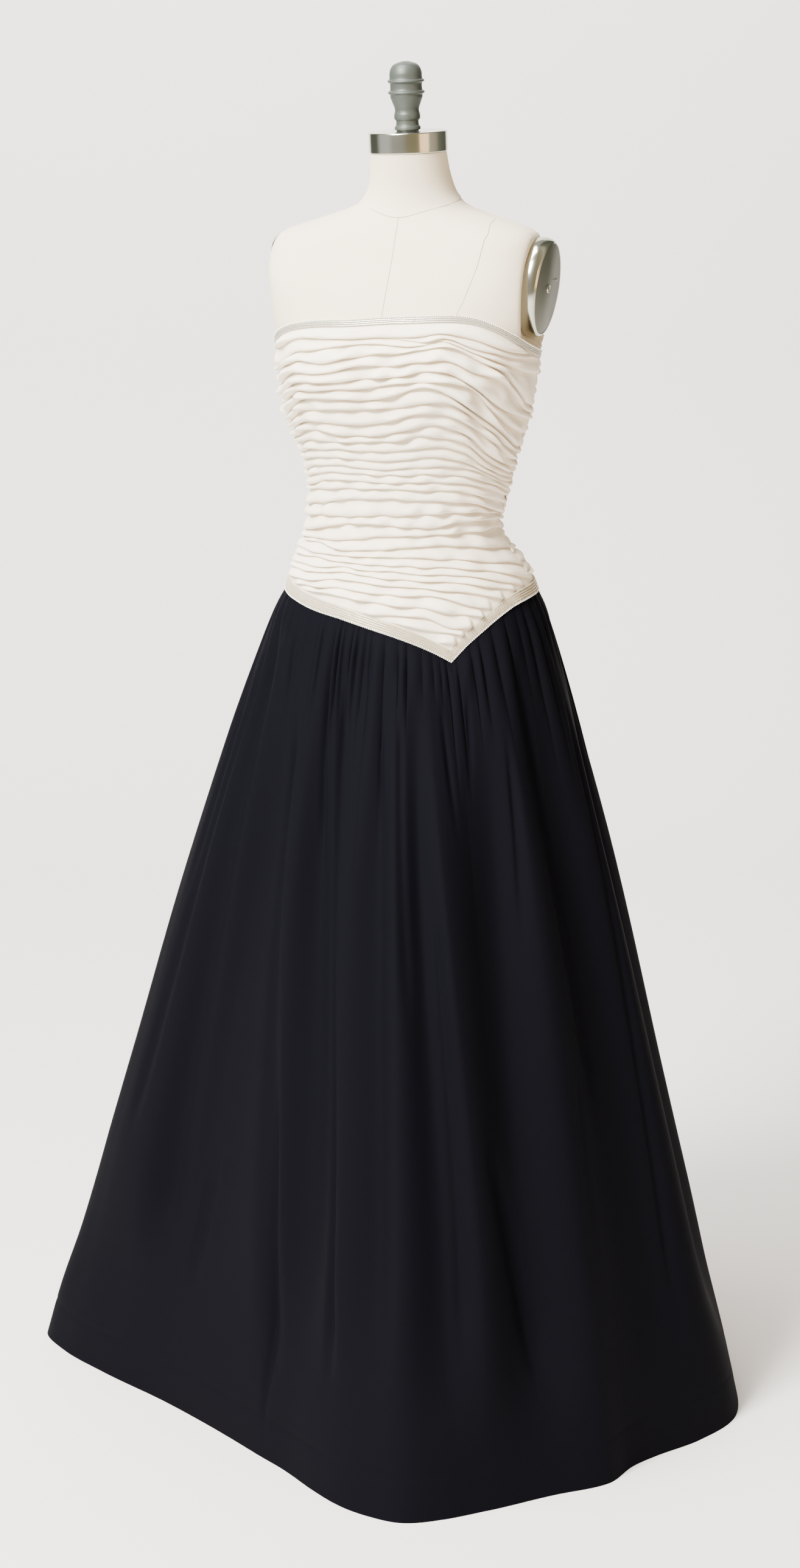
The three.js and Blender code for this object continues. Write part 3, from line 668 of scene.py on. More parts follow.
@dataclass(frozen=True)
class FormSurface:
    """The form's body as radii round its axis, with a soft bust, a leaning neck and a waist set aside."""

    sections: tuple[Section, ...] = table(
        Section,
        (1533.5, 44, 44, 44, 11, 2), (1512, 46, 46, 47, 16, 2), (1494, 50, 48, 51, 20, 2),
        (1482, 56, 50, 56, 21, 2), (1472, 66, 52, 61, 21, 2), (1461, 96, 56, 67, 20, 2.1),
        (1452, 123, 60, 71, 19, 2.3), (1444, 145, 64, 74, 18, 2.5), (1434, 153, 68, 77, 16, 2.7),
        (1415, 156, 75, 80, 13, 2.8), (1385, 157, 86, 84, 7, 2.7), (1350, 158, 94, 89, 1, 2.4),
        (1328, 157, 98.5, 91, 0, 2.2), (1307, 154, 102.5, 91, 0, 2), (1287, 151, 105, 90, 0, 2),
        (1267, 147, 104.5, 89, 0, 2), (1247, 143, 103, 88, 0, 2), (1227, 138, 100, 85, 0, 2),
        (1205, 130.5, 96, 82, 0, 2), (1180, 122.5, 91, 78, 0, 2), (1150, 116, 86, 76, 0, 2),
        (1120, 112, 83, 75, 0, 2), (1100, 112, 83.5, 76, 0, 2), (1083, 119.5, 88, 81, 0, 2),
        (1060, 133.5, 97, 91, 0, 2), (1038, 144, 106, 101, 0, 2), (1014, 151, 113, 109, 0, 2),
        (985, 155, 117, 116, 0, 2), (935, 158, 119, 123, 0, 2), (870, 159, 119, 127, 0, 2),
        (800, 155, 116, 123, 0, 2),
    )
    waist_heights: tuple[float, ...] = (1150, 1122, 1100, 1080, 1058, 1038)
    waist_aside: tuple[float, ...] = (0, -6, -9, -7, -2, 0)
    bust_angle: float = 37
    bust_height: float = 1287
    bust_rise: float = 15
    bust_spread_angle: float = 21
    bust_spread_height: float = 42
    neck_lean: float = 1.5
    neck_foot: float = 1482
    neck_top: float = 1533.5

    def column(self, name: str) -> Line:
        """The smooth line through one column of the sections."""
        return Line([s.z for s in self.sections], [getattr(s, name) for s in self.sections])

    def radius(self, angle: Array, z: Array) -> Array:
        """The form's radius.

        Args:
            angle: the directions.
            z: the heights.

        Returns:
            The distance from the axis to the surface, in millimetres.
        """
        turn = np.radians(angle)
        deep = np.where(np.cos(turn) > 0, self.column("front")(z), self.column("back")(z))
        across = np.abs(np.sin(turn)) / self.column("side")(z)
        along = np.abs(np.cos(turn)) / deep
        power = self.column("square")(z)
        oval = (across**power + along**power) ** (-1 / power)
        height = ((z - self.bust_height) / self.bust_spread_height) ** 2
        swell = sum(
            np.exp(-((wrapped(np.asarray(angle) - side) / self.bust_spread_angle) ** 2) - height)
            for side in (self.bust_angle, -self.bust_angle)
        )
        return oval + self.bust_rise * swell

    def over(self, angle: Array, z: Array, out: Array) -> Array:
        """Points over the surface.

        Args:
            angle: their directions.
            z: their heights.
            out: how far out from the surface they lie.

        Returns:
            The points, in millimetres.
        """
        angle, z, out = np.broadcast_arrays(np.asarray(angle, float), np.asarray(z, float), out)
        points = around(angle, self.radius(angle, z) + out, z)
        share = eased((z - self.neck_foot) / (self.neck_top - self.neck_foot))
        lean = share * math.tan(math.radians(self.neck_lean))
        aside = Line(self.waist_heights, self.waist_aside)(z) * np.sin(np.radians(angle)) ** 2
        shift = np.stack([aside, self.column("centre")(z), points[..., 0] * lean], axis=-1)
        return points + shift


@dataclass(frozen=True)
class GownEdges:
    """The bodice's top edge and the seam to the skirt, as heights at each direction, with the layers."""

    top_at: tuple[float, ...] = (
        *(-180, -135, -105, -90, -78, -66, -56, -42, -20, 0),
        *(22, 42, 52, 60, 70, 79, 90, 105, 135, 180),
    )
    top_z: tuple[float, ...] = (
        *(1266, 1274, 1291, 1303, 1319, 1335, 1344, 1350, 1353, 1356),
        *(1358, 1359, 1356, 1348, 1334, 1321, 1311, 1303, 1279, 1266),
    )
    long_at: tuple[float, ...] = (-180, -90, -62, -42, -25, -6, 8, 20, 29, 37.5)
    long_z: tuple[float, ...] = (1030, 1025, 1019, 1012, 1007, 998, 990, 981, 972, 961)
    short_at: tuple[float, ...] = (37.5, 45, 54, 63, 73, 90, 180)
    short_z: tuple[float, ...] = (961, 979, 996, 1010, 1020, 1025, 1030)
    point_angle: float = 37.5
    ease: float = 1.8
    bodice_wall: float = 2.0
    gap: float = 0.3
    top_tape: float = 8.0
    waist_tape: float = 13.5

    def top(self, angle: Array) -> Array:
        """The height of the bodice's top edge."""
        return Line(self.top_at, self.top_z)(wrapped(angle))

    def seam(self, angle: Array) -> Array:
        """The seam between bodice and skirt.

        Args:
            angle: the directions.

        Returns:
            Its height at each direction.
        """
        a = wrapped(angle)
        long = Line(self.long_at, self.long_z)(a)
        short = Line(self.short_at, self.short_z)(a)
        return np.where(a <= self.point_angle, long, short)

    def foot(self, angle: Array) -> Array:
        """The height of the bodice's lower edge, half a gap above the seam."""
        return self.seam(angle) + self.gap / 2

    def top_tape_low(self, angle: Array) -> Array:
        """The height of the lower edge of the tape on the top edge."""
        return self.top(angle) - self.top_tape

    def waist_tape_high(self, angle: Array) -> Array:
        """The height of the upper edge of the tape over the seam."""
        return self.foot(angle) + self.waist_tape

    @property
    def on_bodice(self) -> float:
        """How far out from the form the pieces lie that rest on the bodice."""
        return self.ease + self.bodice_wall + self.gap


FORM = FormSurface()
EDGES = GownEdges()


class Panel(NamedTuple):
    """A cloth panel: the end of its nodes' names and the directions that it spans."""

    name: str
    start: float
    end: float


PANELS = (Panel("front", -90, 90), Panel("back_left", 90, 180), Panel("back_right", -180, -90))


# The dress form


class Padding(NamedTuple):
    """A soft pad under the cover: its direction and height, its spreads in both, and its thickness."""

    at: float
    z: float
    wide: float
    high: float
    out: float


@dataclass
class DressForm:
    """The padded body with its seams, neck cap, finial and arm plates."""

    body_rows: int = 150
    body_columns: int = 240
    cap_height: float = 24
    cap_radius: float = 45.5
    cap_edge: float = 1.6
    cap_sides: int = 128
    gap: float = 0.3
    finial_rows: int = 150
    finial_sides: int = 64
    finial_up: tuple[float, ...] = (
        *(0, 0.8, 1.4, 5, 6.2, 9.5, 12, 13.6, 19, 21, 24.7, 32),
        *(38, 41.4, 42.6, 44.6, 45.8, 50.5, 54.4, 55.4, 57.4, 58.6, 66, 72, 75.7, 77.8),
    )
    finial_radius: tuple[float, ...] = (
        *(13.0, 13.0, 14.8, 14.8, 13.6, 13.1, 13.3, 14.9, 15.0, 14.3, 14.0, 16.4),
        *(18.6, 19.0, 20.9, 20.9, 19.0, 18.4, 19.0, 21.0, 21.0, 19.2, 18.6, 16.4, 12.6, 6.4),
    )
    plate_outward: float = 143
    plate_backward: float = 24
    plate_height: float = 1381.5
    plate_half_width: float = 45
    plate_half_height: float = 58.5
    plate_lean: float = 8
    plate_forward: float = 4
    rim_out: tuple[float, ...] = (-20, 0, 4, 9, 14, 18, 20)
    rim_scale: tuple[float, ...] = (0.93, 0.968, 0.99, 1.0, 0.985, 0.95, 0.905)
    groove_out: tuple[float, ...] = (19.8, 19.1, 19.1, 19.8, 20)
    groove_scale: tuple[float, ...] = (0.899, 0.895, 0.886, 0.882, 0.876)
    cover_at: dict[Side, float] = field(default_factory=lambda: {Side.LEFT: 1.0, Side.RIGHT: 19.0})
    front_slope: dict[Side, float] = field(default_factory=lambda: {Side.LEFT: 24, Side.RIGHT: 130})
    side_slope: float = 130.0
    rim_share: float = 0.98
    cover_blend: float = 1.6
    front_from: float = 0.25
    front_blend: float = 0.7
    least_oval: float = 0.1
    plate_reach: float = 60
    pads: tuple[Padding, ...] = table(Padding, (-80, 1408, 26, 46, 11.0), (106, 1352, 28, 38, 22.0))
    plate_sides: int = 120
    rim_steps: int = 40
    face_reach: float = 1.02
    screw_sides: int = 40
    seam_sides: int = 6
    seam_radius: float = 0.45
    neck_seam_at: tuple[float, ...] = (-180, -130, -85, -38, 0, 38, 85, 130, 180)
    neck_seam_z: tuple[float, ...] = (1486, 1484, 1479, 1471, 1463, 1471, 1479, 1484, 1486)

    def plate_frame(self, points: Array, side: Side, inward: bool = False) -> Array:
        """Moves points between an arm plate's own place, facing +X, and the form.

        Args:
            points: the points, in millimetres.
            side: the plate's side.
            inward: whether they go from the form to the plate's own place.

        Returns:
            The moved points.
        """
        lean = np.array(Matrix.Rotation(math.radians(self.plate_lean), 3, "Y"))
        half_turn = np.diag([side.value, side.value, 1.0])
        forward = np.array(Matrix.Rotation(-side.value * math.radians(self.plate_forward), 3, "Z"))
        turn = forward @ half_turn @ lean
        centre = np.array([side.value * self.plate_outward, self.plate_backward, self.plate_height])
        if inward:
            return (points - centre) @ turn
        return points @ turn.T + centre

    def body_points(self, angle: Array, z: Array) -> Array:
        """The cover, with full padding by the right plate and drawn in under the left one's rim.

        Args:
            angle: the directions of its columns.
            z: the heights of its rows.

        Returns:
            Its points, in millimetres.
        """
        padding = 0.0
        for pad in self.pads:
            near = ((wrapped(angle) - pad.at) / pad.wide) ** 2 + ((z - pad.z) / pad.high) ** 2
            padding = padding + pad.out * np.exp(-near)
        points = FORM.over(angle, z, padding)
        for side in Side:
            own = self.plate_frame(points, side, inward=True)
            across = own[..., 1] / self.plate_half_width
            oval = np.hypot(across, own[..., 2] / self.plate_half_height)
            ahead = eased((self.front_from - across / np.maximum(oval, self.least_oval)) / self.front_blend)
            slope = mix(self.side_slope, self.front_slope[side], ahead)
            limit = self.cover_at[side] + slope * np.maximum(oval - self.rim_share, 0.0)
            facing = own[..., 0] > -self.plate_reach
            drawn = softer_min(own[..., 0], limit, self.cover_blend)
            own[..., 0] = np.where(facing, drawn, own[..., 0])
            points = np.where(facing[..., None], self.plate_frame(own, side), points)
        return points

    def body(self) -> None:
        """Builds the padded body and its cover."""
        heights = [s.z for s in FORM.sections]
        z = np.linspace(heights[0], heights[-1], self.body_rows)[:, None]
        angle = np.linspace(-180, 180, self.body_columns, endpoint=False)[None]
        shape = Shape()
        shape.loft(self.body_points(angle, z))
        dress(shape.finish("form_cover"), JERSEY.build(), Slot.JERSEY, ["form_torso"])

    def seams(self) -> None:
        """Builds the cover's seams: centre front and back, side-front and side-back, and round the neck."""
        shape = Shape()
        shoulder = [(86, 1458.5), (77, 1456), (70, 1451), (63, 1440.5), (60.2, 1430.5), (58, 1420)]
        shoulder += [(56, 1409.5), (53.6, 1399), (51.3, 1388.5), (49.2, 1377.5), (45, 1358), (43, 1346)]
        tracks = {
            "centre front": ((1.5, 1463), (1, 1419), (0, 1385), (-1.5, 1348)),
            "side front left": shoulder,
            "side front right": [(-angle, z) for angle, z in shoulder],
            "centre back": ((180, 1482), (180, 1400), (180, 1255)),
            "side back left": ((118, 1448), (140, 1360), (146, 1262)),
            "side back right": ((-118, 1448), (-140, 1360), (-146, 1262)),
        }
        for track in tracks.values():
            heights = [z for _, z in track]
            z = np.linspace(heights[0], heights[-1], 90)
            angle = Line(heights, [a for a, _ in track])(z)
            shape.tube(FORM.over(angle, z, 0.0), self.seam_radius, self.seam_sides)
        angle = np.linspace(-180, 180, 160, endpoint=False)
        neck = Line(self.neck_seam_at, self.neck_seam_z)(angle)
        shape.tube(FORM.over(angle, neck, 0.0), self.seam_radius, self.seam_sides)
        dress(shape.finish("form_seams"), SEAM.build(), Slot.JERSEY)

    def neck_top(self, points: Array) -> Array:
        """Moves a piece made above the origin onto the leaning top of the neck.

        Args:
            points: its points, in millimetres.

        Returns:
            The moved points.
        """
        lean = np.array(Matrix.Rotation(-math.radians(FORM.neck_lean), 3, "Y"))
        foot = np.array([0.0, float(FORM.column("centre")(FORM.neck_top)), FORM.neck_top])
        return points @ lean.T + foot

    def cap(self) -> None:
        """Builds the polished neck cap."""
        turn = np.radians(np.linspace(0, 90, 6))
        soft = self.cap_edge * (1 - np.sin(turn)), self.cap_edge * (1 - np.cos(turn))
        top_z = self.cap_height - soft[1]
        radius = np.concatenate([[20, 40], self.cap_radius - soft[0], (self.cap_radius - soft[0])[::-1]])
        z = np.concatenate([[self.cap_height] * 2, top_z, (self.gap + soft[1])[::-1]])
        shape = Shape()
        shape.loft(self.neck_top(turned(radius, z, self.cap_sides)))
        dress(shape.finish("cap_polished", 40), STEEL.build(), Slot.STEEL, ["neck_cap"])

    def finial(self) -> None:
        """Builds the cast finial with its collars."""
        base = self.cap_height + self.gap
        up = np.linspace(self.finial_up[-1], 0, self.finial_rows)
        radius = Line(self.finial_up, self.finial_radius)(up)
        tip = np.array([0.6, 2.8, 4.8])
        tip_up = self.finial_up[-1] + np.array([0.9, 0.75, 0.42])
        shape = Shape()
        radius, z = np.concatenate([tip, radius]), base + np.concatenate([tip_up, up])
        rings = turned(radius, z, self.finial_sides)
        shape.loft(self.neck_top(rings))
        dress(shape.finish("finial_cast", 60), CAST.build(), Slot.FINIAL, ["finial"])

    def plates(self) -> None:
        """Builds both arm plates, each with a rolled rim, a flat brushed face and its screw."""
        steel, brushed = STEEL.build(), BRUSHED.build()
        turn = np.radians(np.linspace(0, 360, self.plate_sides, endpoint=False))[None]
        along = np.linspace(0, len(self.rim_out) - 1, self.rim_steps)
        places = np.arange(len(self.rim_out))
        out = np.concatenate([Line(places, self.rim_out)(along), self.groove_out])[:, None]
        scale = np.concatenate([Line(places, self.rim_scale)(along), self.groove_scale])[:, None]
        y = self.plate_half_width * scale * np.cos(turn)
        z = self.plate_half_height * scale * np.sin(turn)
        rings = np.stack(np.broadcast_arrays(out, y, z), axis=-1)[::-1]
        for side in Side:
            name = side.name.lower()
            shape = Shape()
            shape.loft(self.plate_frame(rings, side))
            plate = dress(shape.finish(f"plate_{name}", 50), steel, Slot.STEEL, [f"arm_plate_{name}"])
            plate.data.materials.append(brushed)
            face = self.plate_face(plate, side)
            log.info("%s: %d brushed faces", plate.name, face)
            self.screw(side, steel)

    def plate_face(self, plate: bpy.types.Object, side: Side) -> int:
        """Gives the flat inner part of a plate its brushed finish.

        Args:
            plate: the plate's object.
            side: its side.

        Returns:
            How many faces it covers.
        """
        count = 0
        limit = self.groove_scale[-1] * self.face_reach
        for polygon in plate.data.polygons:
            middle = np.array(polygon.center) / MM
            own = self.plate_frame(middle[None], side, inward=True)[0]
            oval = math.hypot(own[1] / self.plate_half_width, own[2] / self.plate_half_height)
            if oval < limit and own[0] > 0:
                polygon.material_index = 1
                count += 1
        return count

    def screw(self, side: Side, steel: bpy.types.Material) -> None:
        """Builds a plate's domed centre screw with its ring and the small rivet near the edge.

        Args:
            side: the plate's side.
            steel: the finish.
        """
        face = self.groove_out[-1]
        shape = Shape()
        profiles = {
            (0.0, 0.0): ((4.9, 0.0), (4.9, 0.7), (4.5, 1.2), (3.7, 1.4), (3.2, 1.0), (2.6, 1.0), (1.0, 1.6)),
            (26.0, 8.0): ((1.6, 0.0), (1.5, 0.5), (0.8, 0.8)),
        }
        turn = np.radians(np.linspace(0, 360, self.screw_sides, endpoint=False))[None]
        for (y, z), rows in profiles.items():
            radius = np.array([r for r, _ in rows])[::-1, None]
            out = np.array([o for _, o in rows])[::-1, None]
            across, up = y + radius * np.cos(turn), z + radius * np.sin(turn)
            ring = np.stack(np.broadcast_arrays(face + self.gap + out, across, up), axis=-1)
            shape.loft(self.plate_frame(ring, side))
        name = side.name.lower()
        dress(shape.finish(f"screw_{name}", 40), steel, Slot.STEEL, [f"arm_screw_{name}"])

    def build(self) -> None:
        """Builds the whole form."""
        self.body()
        self.seams()
        self.cap()
        self.finial()
        self.plates()


@dataclass
class Stand:
    """The pole and the round base under the skirt."""

    pole_radius: float = 16
    base_top: float = 13
    base_rim: float = 5
    base_radius: float = 190
    hub: float = 32
    collar: float = 26
    sides: int = 96
    gap: float = 0.3

    def turned(self, name: str, rows: Sequence[tuple[float, float]]) -> bpy.types.Object:
        """Builds a turned piece.

        Args:
            name: its name.
            rows: its radii and heights, from the top down.

        Returns:
            Its object.
        """
        radius, z = np.array(rows, float).T
        shape = Shape()
        shape.loft(turned(radius, z, self.sides))
        return shape.finish(name, 35)

    def build(self) -> None:
        """Builds the base and the pole."""
        r, top, rim = self.base_radius, self.base_top, self.base_rim
        rows = [
            *((self.collar - 3, top + rim), (self.collar, top + rim - 1), (self.hub, top + 1)),
            *((self.hub + 8, top - 0.4), (r - 8, rim + 0.8), (r - 1.5, rim - 0.6), (r, rim - 2.5), (r, 0)),
        ]
        dress(self.turned("base_enamelled", rows), ENAMEL.build(), Slot.IRON, ["stand_base"])
        high, low = FORM.sections[-1].z - self.gap, top + rim + self.gap
        rows = [(self.pole_radius - 0.5, high), (self.pole_radius, high - 0.5), (self.pole_radius, low)]
        dress(self.turned("pole_polished", rows), STEEL.build(), Slot.STEEL, ["stand_pole"])


# The bodice


class Fold(NamedTuple):
    """A ruched fold of the front: how far it stands out, and its lower edge's height at each column."""

    out: float
    heights: tuple[float, ...]


class Step(NamedTuple):
    """A point of a fold's section: its share of the way down the fold, and of the way out."""

    down: float
    out: float


@dataclass
class Bodice:
    """The ruched bodice: a front and two back panels whose folds overlap downwards like low steps."""

    read_at: tuple[float, ...] = (-90, -70, -50, -30, -10, 10, 25, 37, 50, 65, 80, 95)
    folds: tuple[Fold, ...] = table(
        Fold,
        (3.0, (1309, 1313, 1329, 1331, 1334, 1335, 1337, 1340, 1333, 1318, 1310, 1300)),
        (2.8, (1308, 1312, 1328, 1330, 1333, 1333, 1330, 1335, 1323, 1311, 1305, 1297)),
        (2.8, (1289, 1293, 1313, 1321, 1327, 1326, 1326, 1331, 1318, 1302, 1289, 1284)),
        (4.2, (1282, 1286, 1303, 1305, 1314.5, 1317.5, 1321.5, 1326, 1312, 1291, 1256, 1244)),
        (4.4, (1268, 1272, 1290, 1293, 1303, 1304, 1309.5, 1310.5, 1295, 1281, 1247, 1236)),
        (4.6, (1254, 1258, 1278, 1282, 1288, 1291.5, 1298.5, 1296.5, 1277.5, 1251.5, 1237, 1227)),
        (4.2, (1244, 1248, 1268, 1273, 1277.5, 1283, 1286.5, 1286.5, 1273.5, 1240, 1220, 1212)),
        (4.8, (1232, 1236, 1257.5, 1263.5, 1264, 1270, 1281.5, 1271.5, 1251.5, 1228, 1204, 1198)),
        (4.4, (1223, 1227, 1245.5, 1250.5, 1253, 1256.5, 1262.5, 1262, 1245, 1220, 1197, 1190)),
        (4.6, (1214, 1218, 1233, 1234.5, 1235, 1243, 1249.5, 1247.5, 1234, 1211, 1188, 1181)),
        (4.2, (1205, 1209, 1222, 1222, 1221.5, 1227, 1235, 1234, 1221.5, 1194.5, 1180, 1173)),
        (3.6, (1198, 1202, 1210, 1212, 1214, 1217.5, 1222.5, 1220.5, 1211.5, 1187.5, 1173, 1166)),
        (3.2, (1187, 1191, 1199, 1203, 1203, 1205, 1209, 1209.5, 1200.5, 1180, 1167, 1160)),
        (3.0, (1178, 1182, 1189, 1193, 1192, 1193.5, 1197, 1197, 1190, 1175, 1162, 1154)),
        (2.8, (1166, 1170, 1180, 1183.5, 1182, 1183, 1186, 1186, 1183, 1172, 1157, 1148)),
        (2.6, (1157, 1161, 1171, 1175, 1175, 1175.5, 1176.5, 1176.5, 1173, 1164, 1152, 1143)),
        (2.8, (1147, 1151, 1161.5, 1166, 1166, 1166.5, 1167, 1167, 1164.5, 1157, 1146, 1137)),
        (3.0, (1141, 1145, 1152, 1156, 1158, 1158.5, 1158, 1157, 1154.5, 1146, 1137, 1128)),
        (3.6, (1124, 1128, 1136, 1143.5, 1146.5, 1147, 1146, 1144.5, 1142, 1136, 1125, 1116)),
        (3.8, (1111, 1115, 1120.5, 1123, 1127, 1128, 1129.5, 1130, 1129.5, 1127, 1122, 1113)),
        (4.0, (1093, 1097, 1105.5, 1114, 1116, 1115, 1113.5, 1113.5, 1118, 1118, 1115, 1110)),
        (3.4, (1087, 1090, 1092, 1095.5, 1101, 1103.5, 1104.5, 1104, 1105, 1105, 1104.5, 1100)),
        (3.6, (1082, 1086, 1087, 1084, 1086, 1090, 1092, 1092.5, 1091, 1087, 1082.5, 1077.5)),
        (3.0, (1072, 1076, 1076, 1077, 1078.5, 1079.5, 1079, 1078, 1075.5, 1071, 1065, 1056)),
        (2.8, (1064, 1068, 1071, 1070, 1070, 1070, 1069, 1068.5, 1065.5, 1060, 1050, 1038)),
        (2.6, (1055, 1059, 1060.5, 1064.5, 1063.5, 1063, 1061, 1060.5, 1057, 1050, 1040, 1027)),
        (2.8, (1049, 1053, 1054, 1059, 1057, 1055.5, 1053, 1052.5, 1049, 1041.5, 1031, 1018)),
        (3.0, (1038, 1042, 1045, 1051, 1049.5, 1047.5, 1046, 1043, 1038.5, 1030, 1020, 1008)),
        (3.0, (1031, 1035, 1038, 1041.5, 1039.5, 1038, 1037.5, 1034, 1024, 1016, 1008, 998)),
        (3.2, (1026, 1030, 1033, 1033.5, 1029.5, 1027, 1023.5, 1018.5, 1013, 1004, 996, 988)),
        (3.0, (1020, 1024, 1026, 1023, 1016.5, 1014.5, 1014, 1002, 1000, 992, 985, 978)),
        (2.8, (1014, 1018, 1020, 1015, 1011, 1006, 999, 995.5, 990, 982, 976, 970)),
        (2.4, (1008, 1012, 1013, 1008, 1003, 996, 985, 983, 978, 972, 966, 960)),
    )
    section: tuple[Step, ...] = table(
        Step,
        (0.0, 0.02), (0.13, 0.14), (0.3, 0.42), (0.48, 0.72), (0.66, 0.92), (0.82, 1.0), (0.93, 0.95),
        (1.03, 0.7), (1.0, 0.3),
    )
    deeper: float = 2.3
    full_height: float = 7.0
    taper: float = 5.0
    least_step: float = 0.02
    back_folds: int = 31
    inner_rows: int = 20
    columns_each_degree: float = 1.0
    closing: float = 13.0
    closing_width: float = 12.0
    side_share: float = 0.58
    side_width: float = 26.0
    bust_girth: float = 0.92
    cut_over: float = 1.04
    depth_change: float = 0.26
    bend_change: float = 0.22
    crumple: float = 0.16
    back_spaces: tuple[float, float] = (0.65, 1.35)
    back_depths: tuple[float, float] = (1.9, 2.9)
    front_wander: float = 0.5
    back_wander: float = 2.2
    wander_wave: float = 34
    depth_wave: float = 26
    bend_wave: float = 20
    crumple_waves: tuple[float, float] = (11, 7)

    def angles(self, panel: Panel) -> Array:
        """A panel's columns, one of them on the seam's point.

        Args:
            panel: the panel.

        Returns:
            Their directions.
        """
        stops = [panel.start, panel.end]
        if panel.start < EDGES.point_angle < panel.end:
            stops.insert(1, EDGES.point_angle)
        runs = [
            np.linspace(a, b, round((b - a) * self.columns_each_degree) + 1)
            for a, b in zip(stops[:-1], stops[1:])
        ]
        return np.unique(np.concatenate(runs))

    def lift(self, angle: Array) -> Array:
        """How much of its depth a fold keeps: less at the side seams, none beside the closing.

        Args:
            angle: the directions.

        Returns:
            The share kept at each direction.
        """
        from_closing = 180 - np.abs(wrapped(angle))
        from_side = np.abs(np.abs(wrapped(angle)) - 90)
        free = eased((from_closing - self.closing) / self.closing_width)
        return free * mix(self.side_share, 1.0, eased(from_side / self.side_width))

    def lines(self, panel: Panel, angle: Array) -> tuple[Array, Array]:
        """The folds' lower edges and depths.

        Args:
            panel: the panel that they lie on.
            angle: the directions of its columns.

        Returns:
            Their heights and their depths, a row for each fold.
        """
        high, low = EDGES.top_tape_low(angle) - EDGES.gap, EDGES.waist_tape_high(angle) + EDGES.gap
        if panel.name == "front":
            depths = [fold.out for fold in self.folds]
            rows = [Line(self.read_at, fold.heights)(angle) for fold in self.folds]
            wander = self.front_wander
        else:
            draw = np.random.default_rng(SEED + len(panel.name))
            spaces = draw.uniform(*self.back_spaces, self.back_folds + 1)
            shares = np.cumsum(spaces)[:-1] / spaces.sum()
            depths = list(draw.uniform(*self.back_depths, self.back_folds))
            rows = [mix(high, low, share) for share in shares]
            wander = self.back_wander
        edges, outs = [], []
        above = high
        for number, (row, depth) in enumerate(zip(rows, depths)):
            sway = Ripple(SEED + 11 * number + len(panel.name), self.wander_wave)(angle) * wander
            edge = np.clip(row + sway, low, high)
            edge = np.minimum(edge, above - self.least_step)
            uneven = 1 + self.depth_change * Ripple(SEED + 7 * number + 3, self.depth_wave)(angle)
            room = np.minimum(high - edge, edge - low) / self.taper
            full = eased((above - edge) / self.full_height)
            outs.append(self.deeper * depth * uneven * full * eased(room) * self.lift(angle))
            edges.append(edge)
            above = edge
        return np.array(edges), np.array(outs)

    def outer(self, panel: Panel, angle: Array) -> Array:
        """A panel's outer face.

        Args:
            panel: the panel.
            angle: the directions of its columns.

        Returns:
            Its points, in rows from the top edge to the seam.
        """
        face = EDGES.ease + EDGES.bodice_wall
        high, low = EDGES.top_tape_low(angle) - EDGES.gap, EDGES.waist_tape_high(angle) + EDGES.gap
        edges, depths = self.lines(panel, angle)
        heights, outs = [EDGES.top(angle), high], [0 * angle, 0 * angle]
        creases = Ripple(SEED + 5, *self.crumple_waves, count=8)
        above = high
        for number, (edge, depth) in enumerate(zip(edges, depths)):
            bend = 1 + self.bend_change * Ripple(SEED + 13 * number, self.bend_wave)(angle)
            for step in self.section:
                down = np.sign(step.down) * np.abs(step.down) ** bend
                z = above - down * (above - edge)
                crumple = self.crumple * creases(angle, z) * np.minimum(depth / 3, 1) * step.out
                heights.append(z)
                outs.append(depth * step.out + crumple)
            above = edge
        heights += [mix(edges[-1], low, 0.5), low, EDGES.foot(angle)]
        outs += [0 * angle, 0 * angle, 0 * angle]
        return FORM.over(angle[None], np.array(heights), face + np.array(outs))

    def build(self) -> None:
        """Builds the three panels."""
        crepe = CREPE.build()
        for panel in PANELS:
            angle = self.angles(panel)
            low = EDGES.foot(angle)
            share = np.linspace(0, 1, self.inner_rows)[:, None]
            inner = FORM.over(angle[None], mix(EDGES.top(angle), low, share), EDGES.ease)
            shape = Shape()
            shape.wall(self.outer(panel, angle), inner)
            piece = dress(
                shape.finish(f"ruched_{panel.name}", 80), crepe, Slot.CREPE, [f"bodice_{panel.name}"]
            )
            wide = self.bust_girth * (panel.end - panel.start) / 360
            high = float((EDGES.top(angle) - low).max()) * self.cut_over * MM
            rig.sheet(piece, flat=(wide, high), held=Hold.GATHERED.value, rests_on=["form_torso"])


# The beaded tapes


class Bead(Enum):
    """The kinds of beads: cut tubes and small round ones."""

    BUGLE = "bugle"
    SEED = "seed"


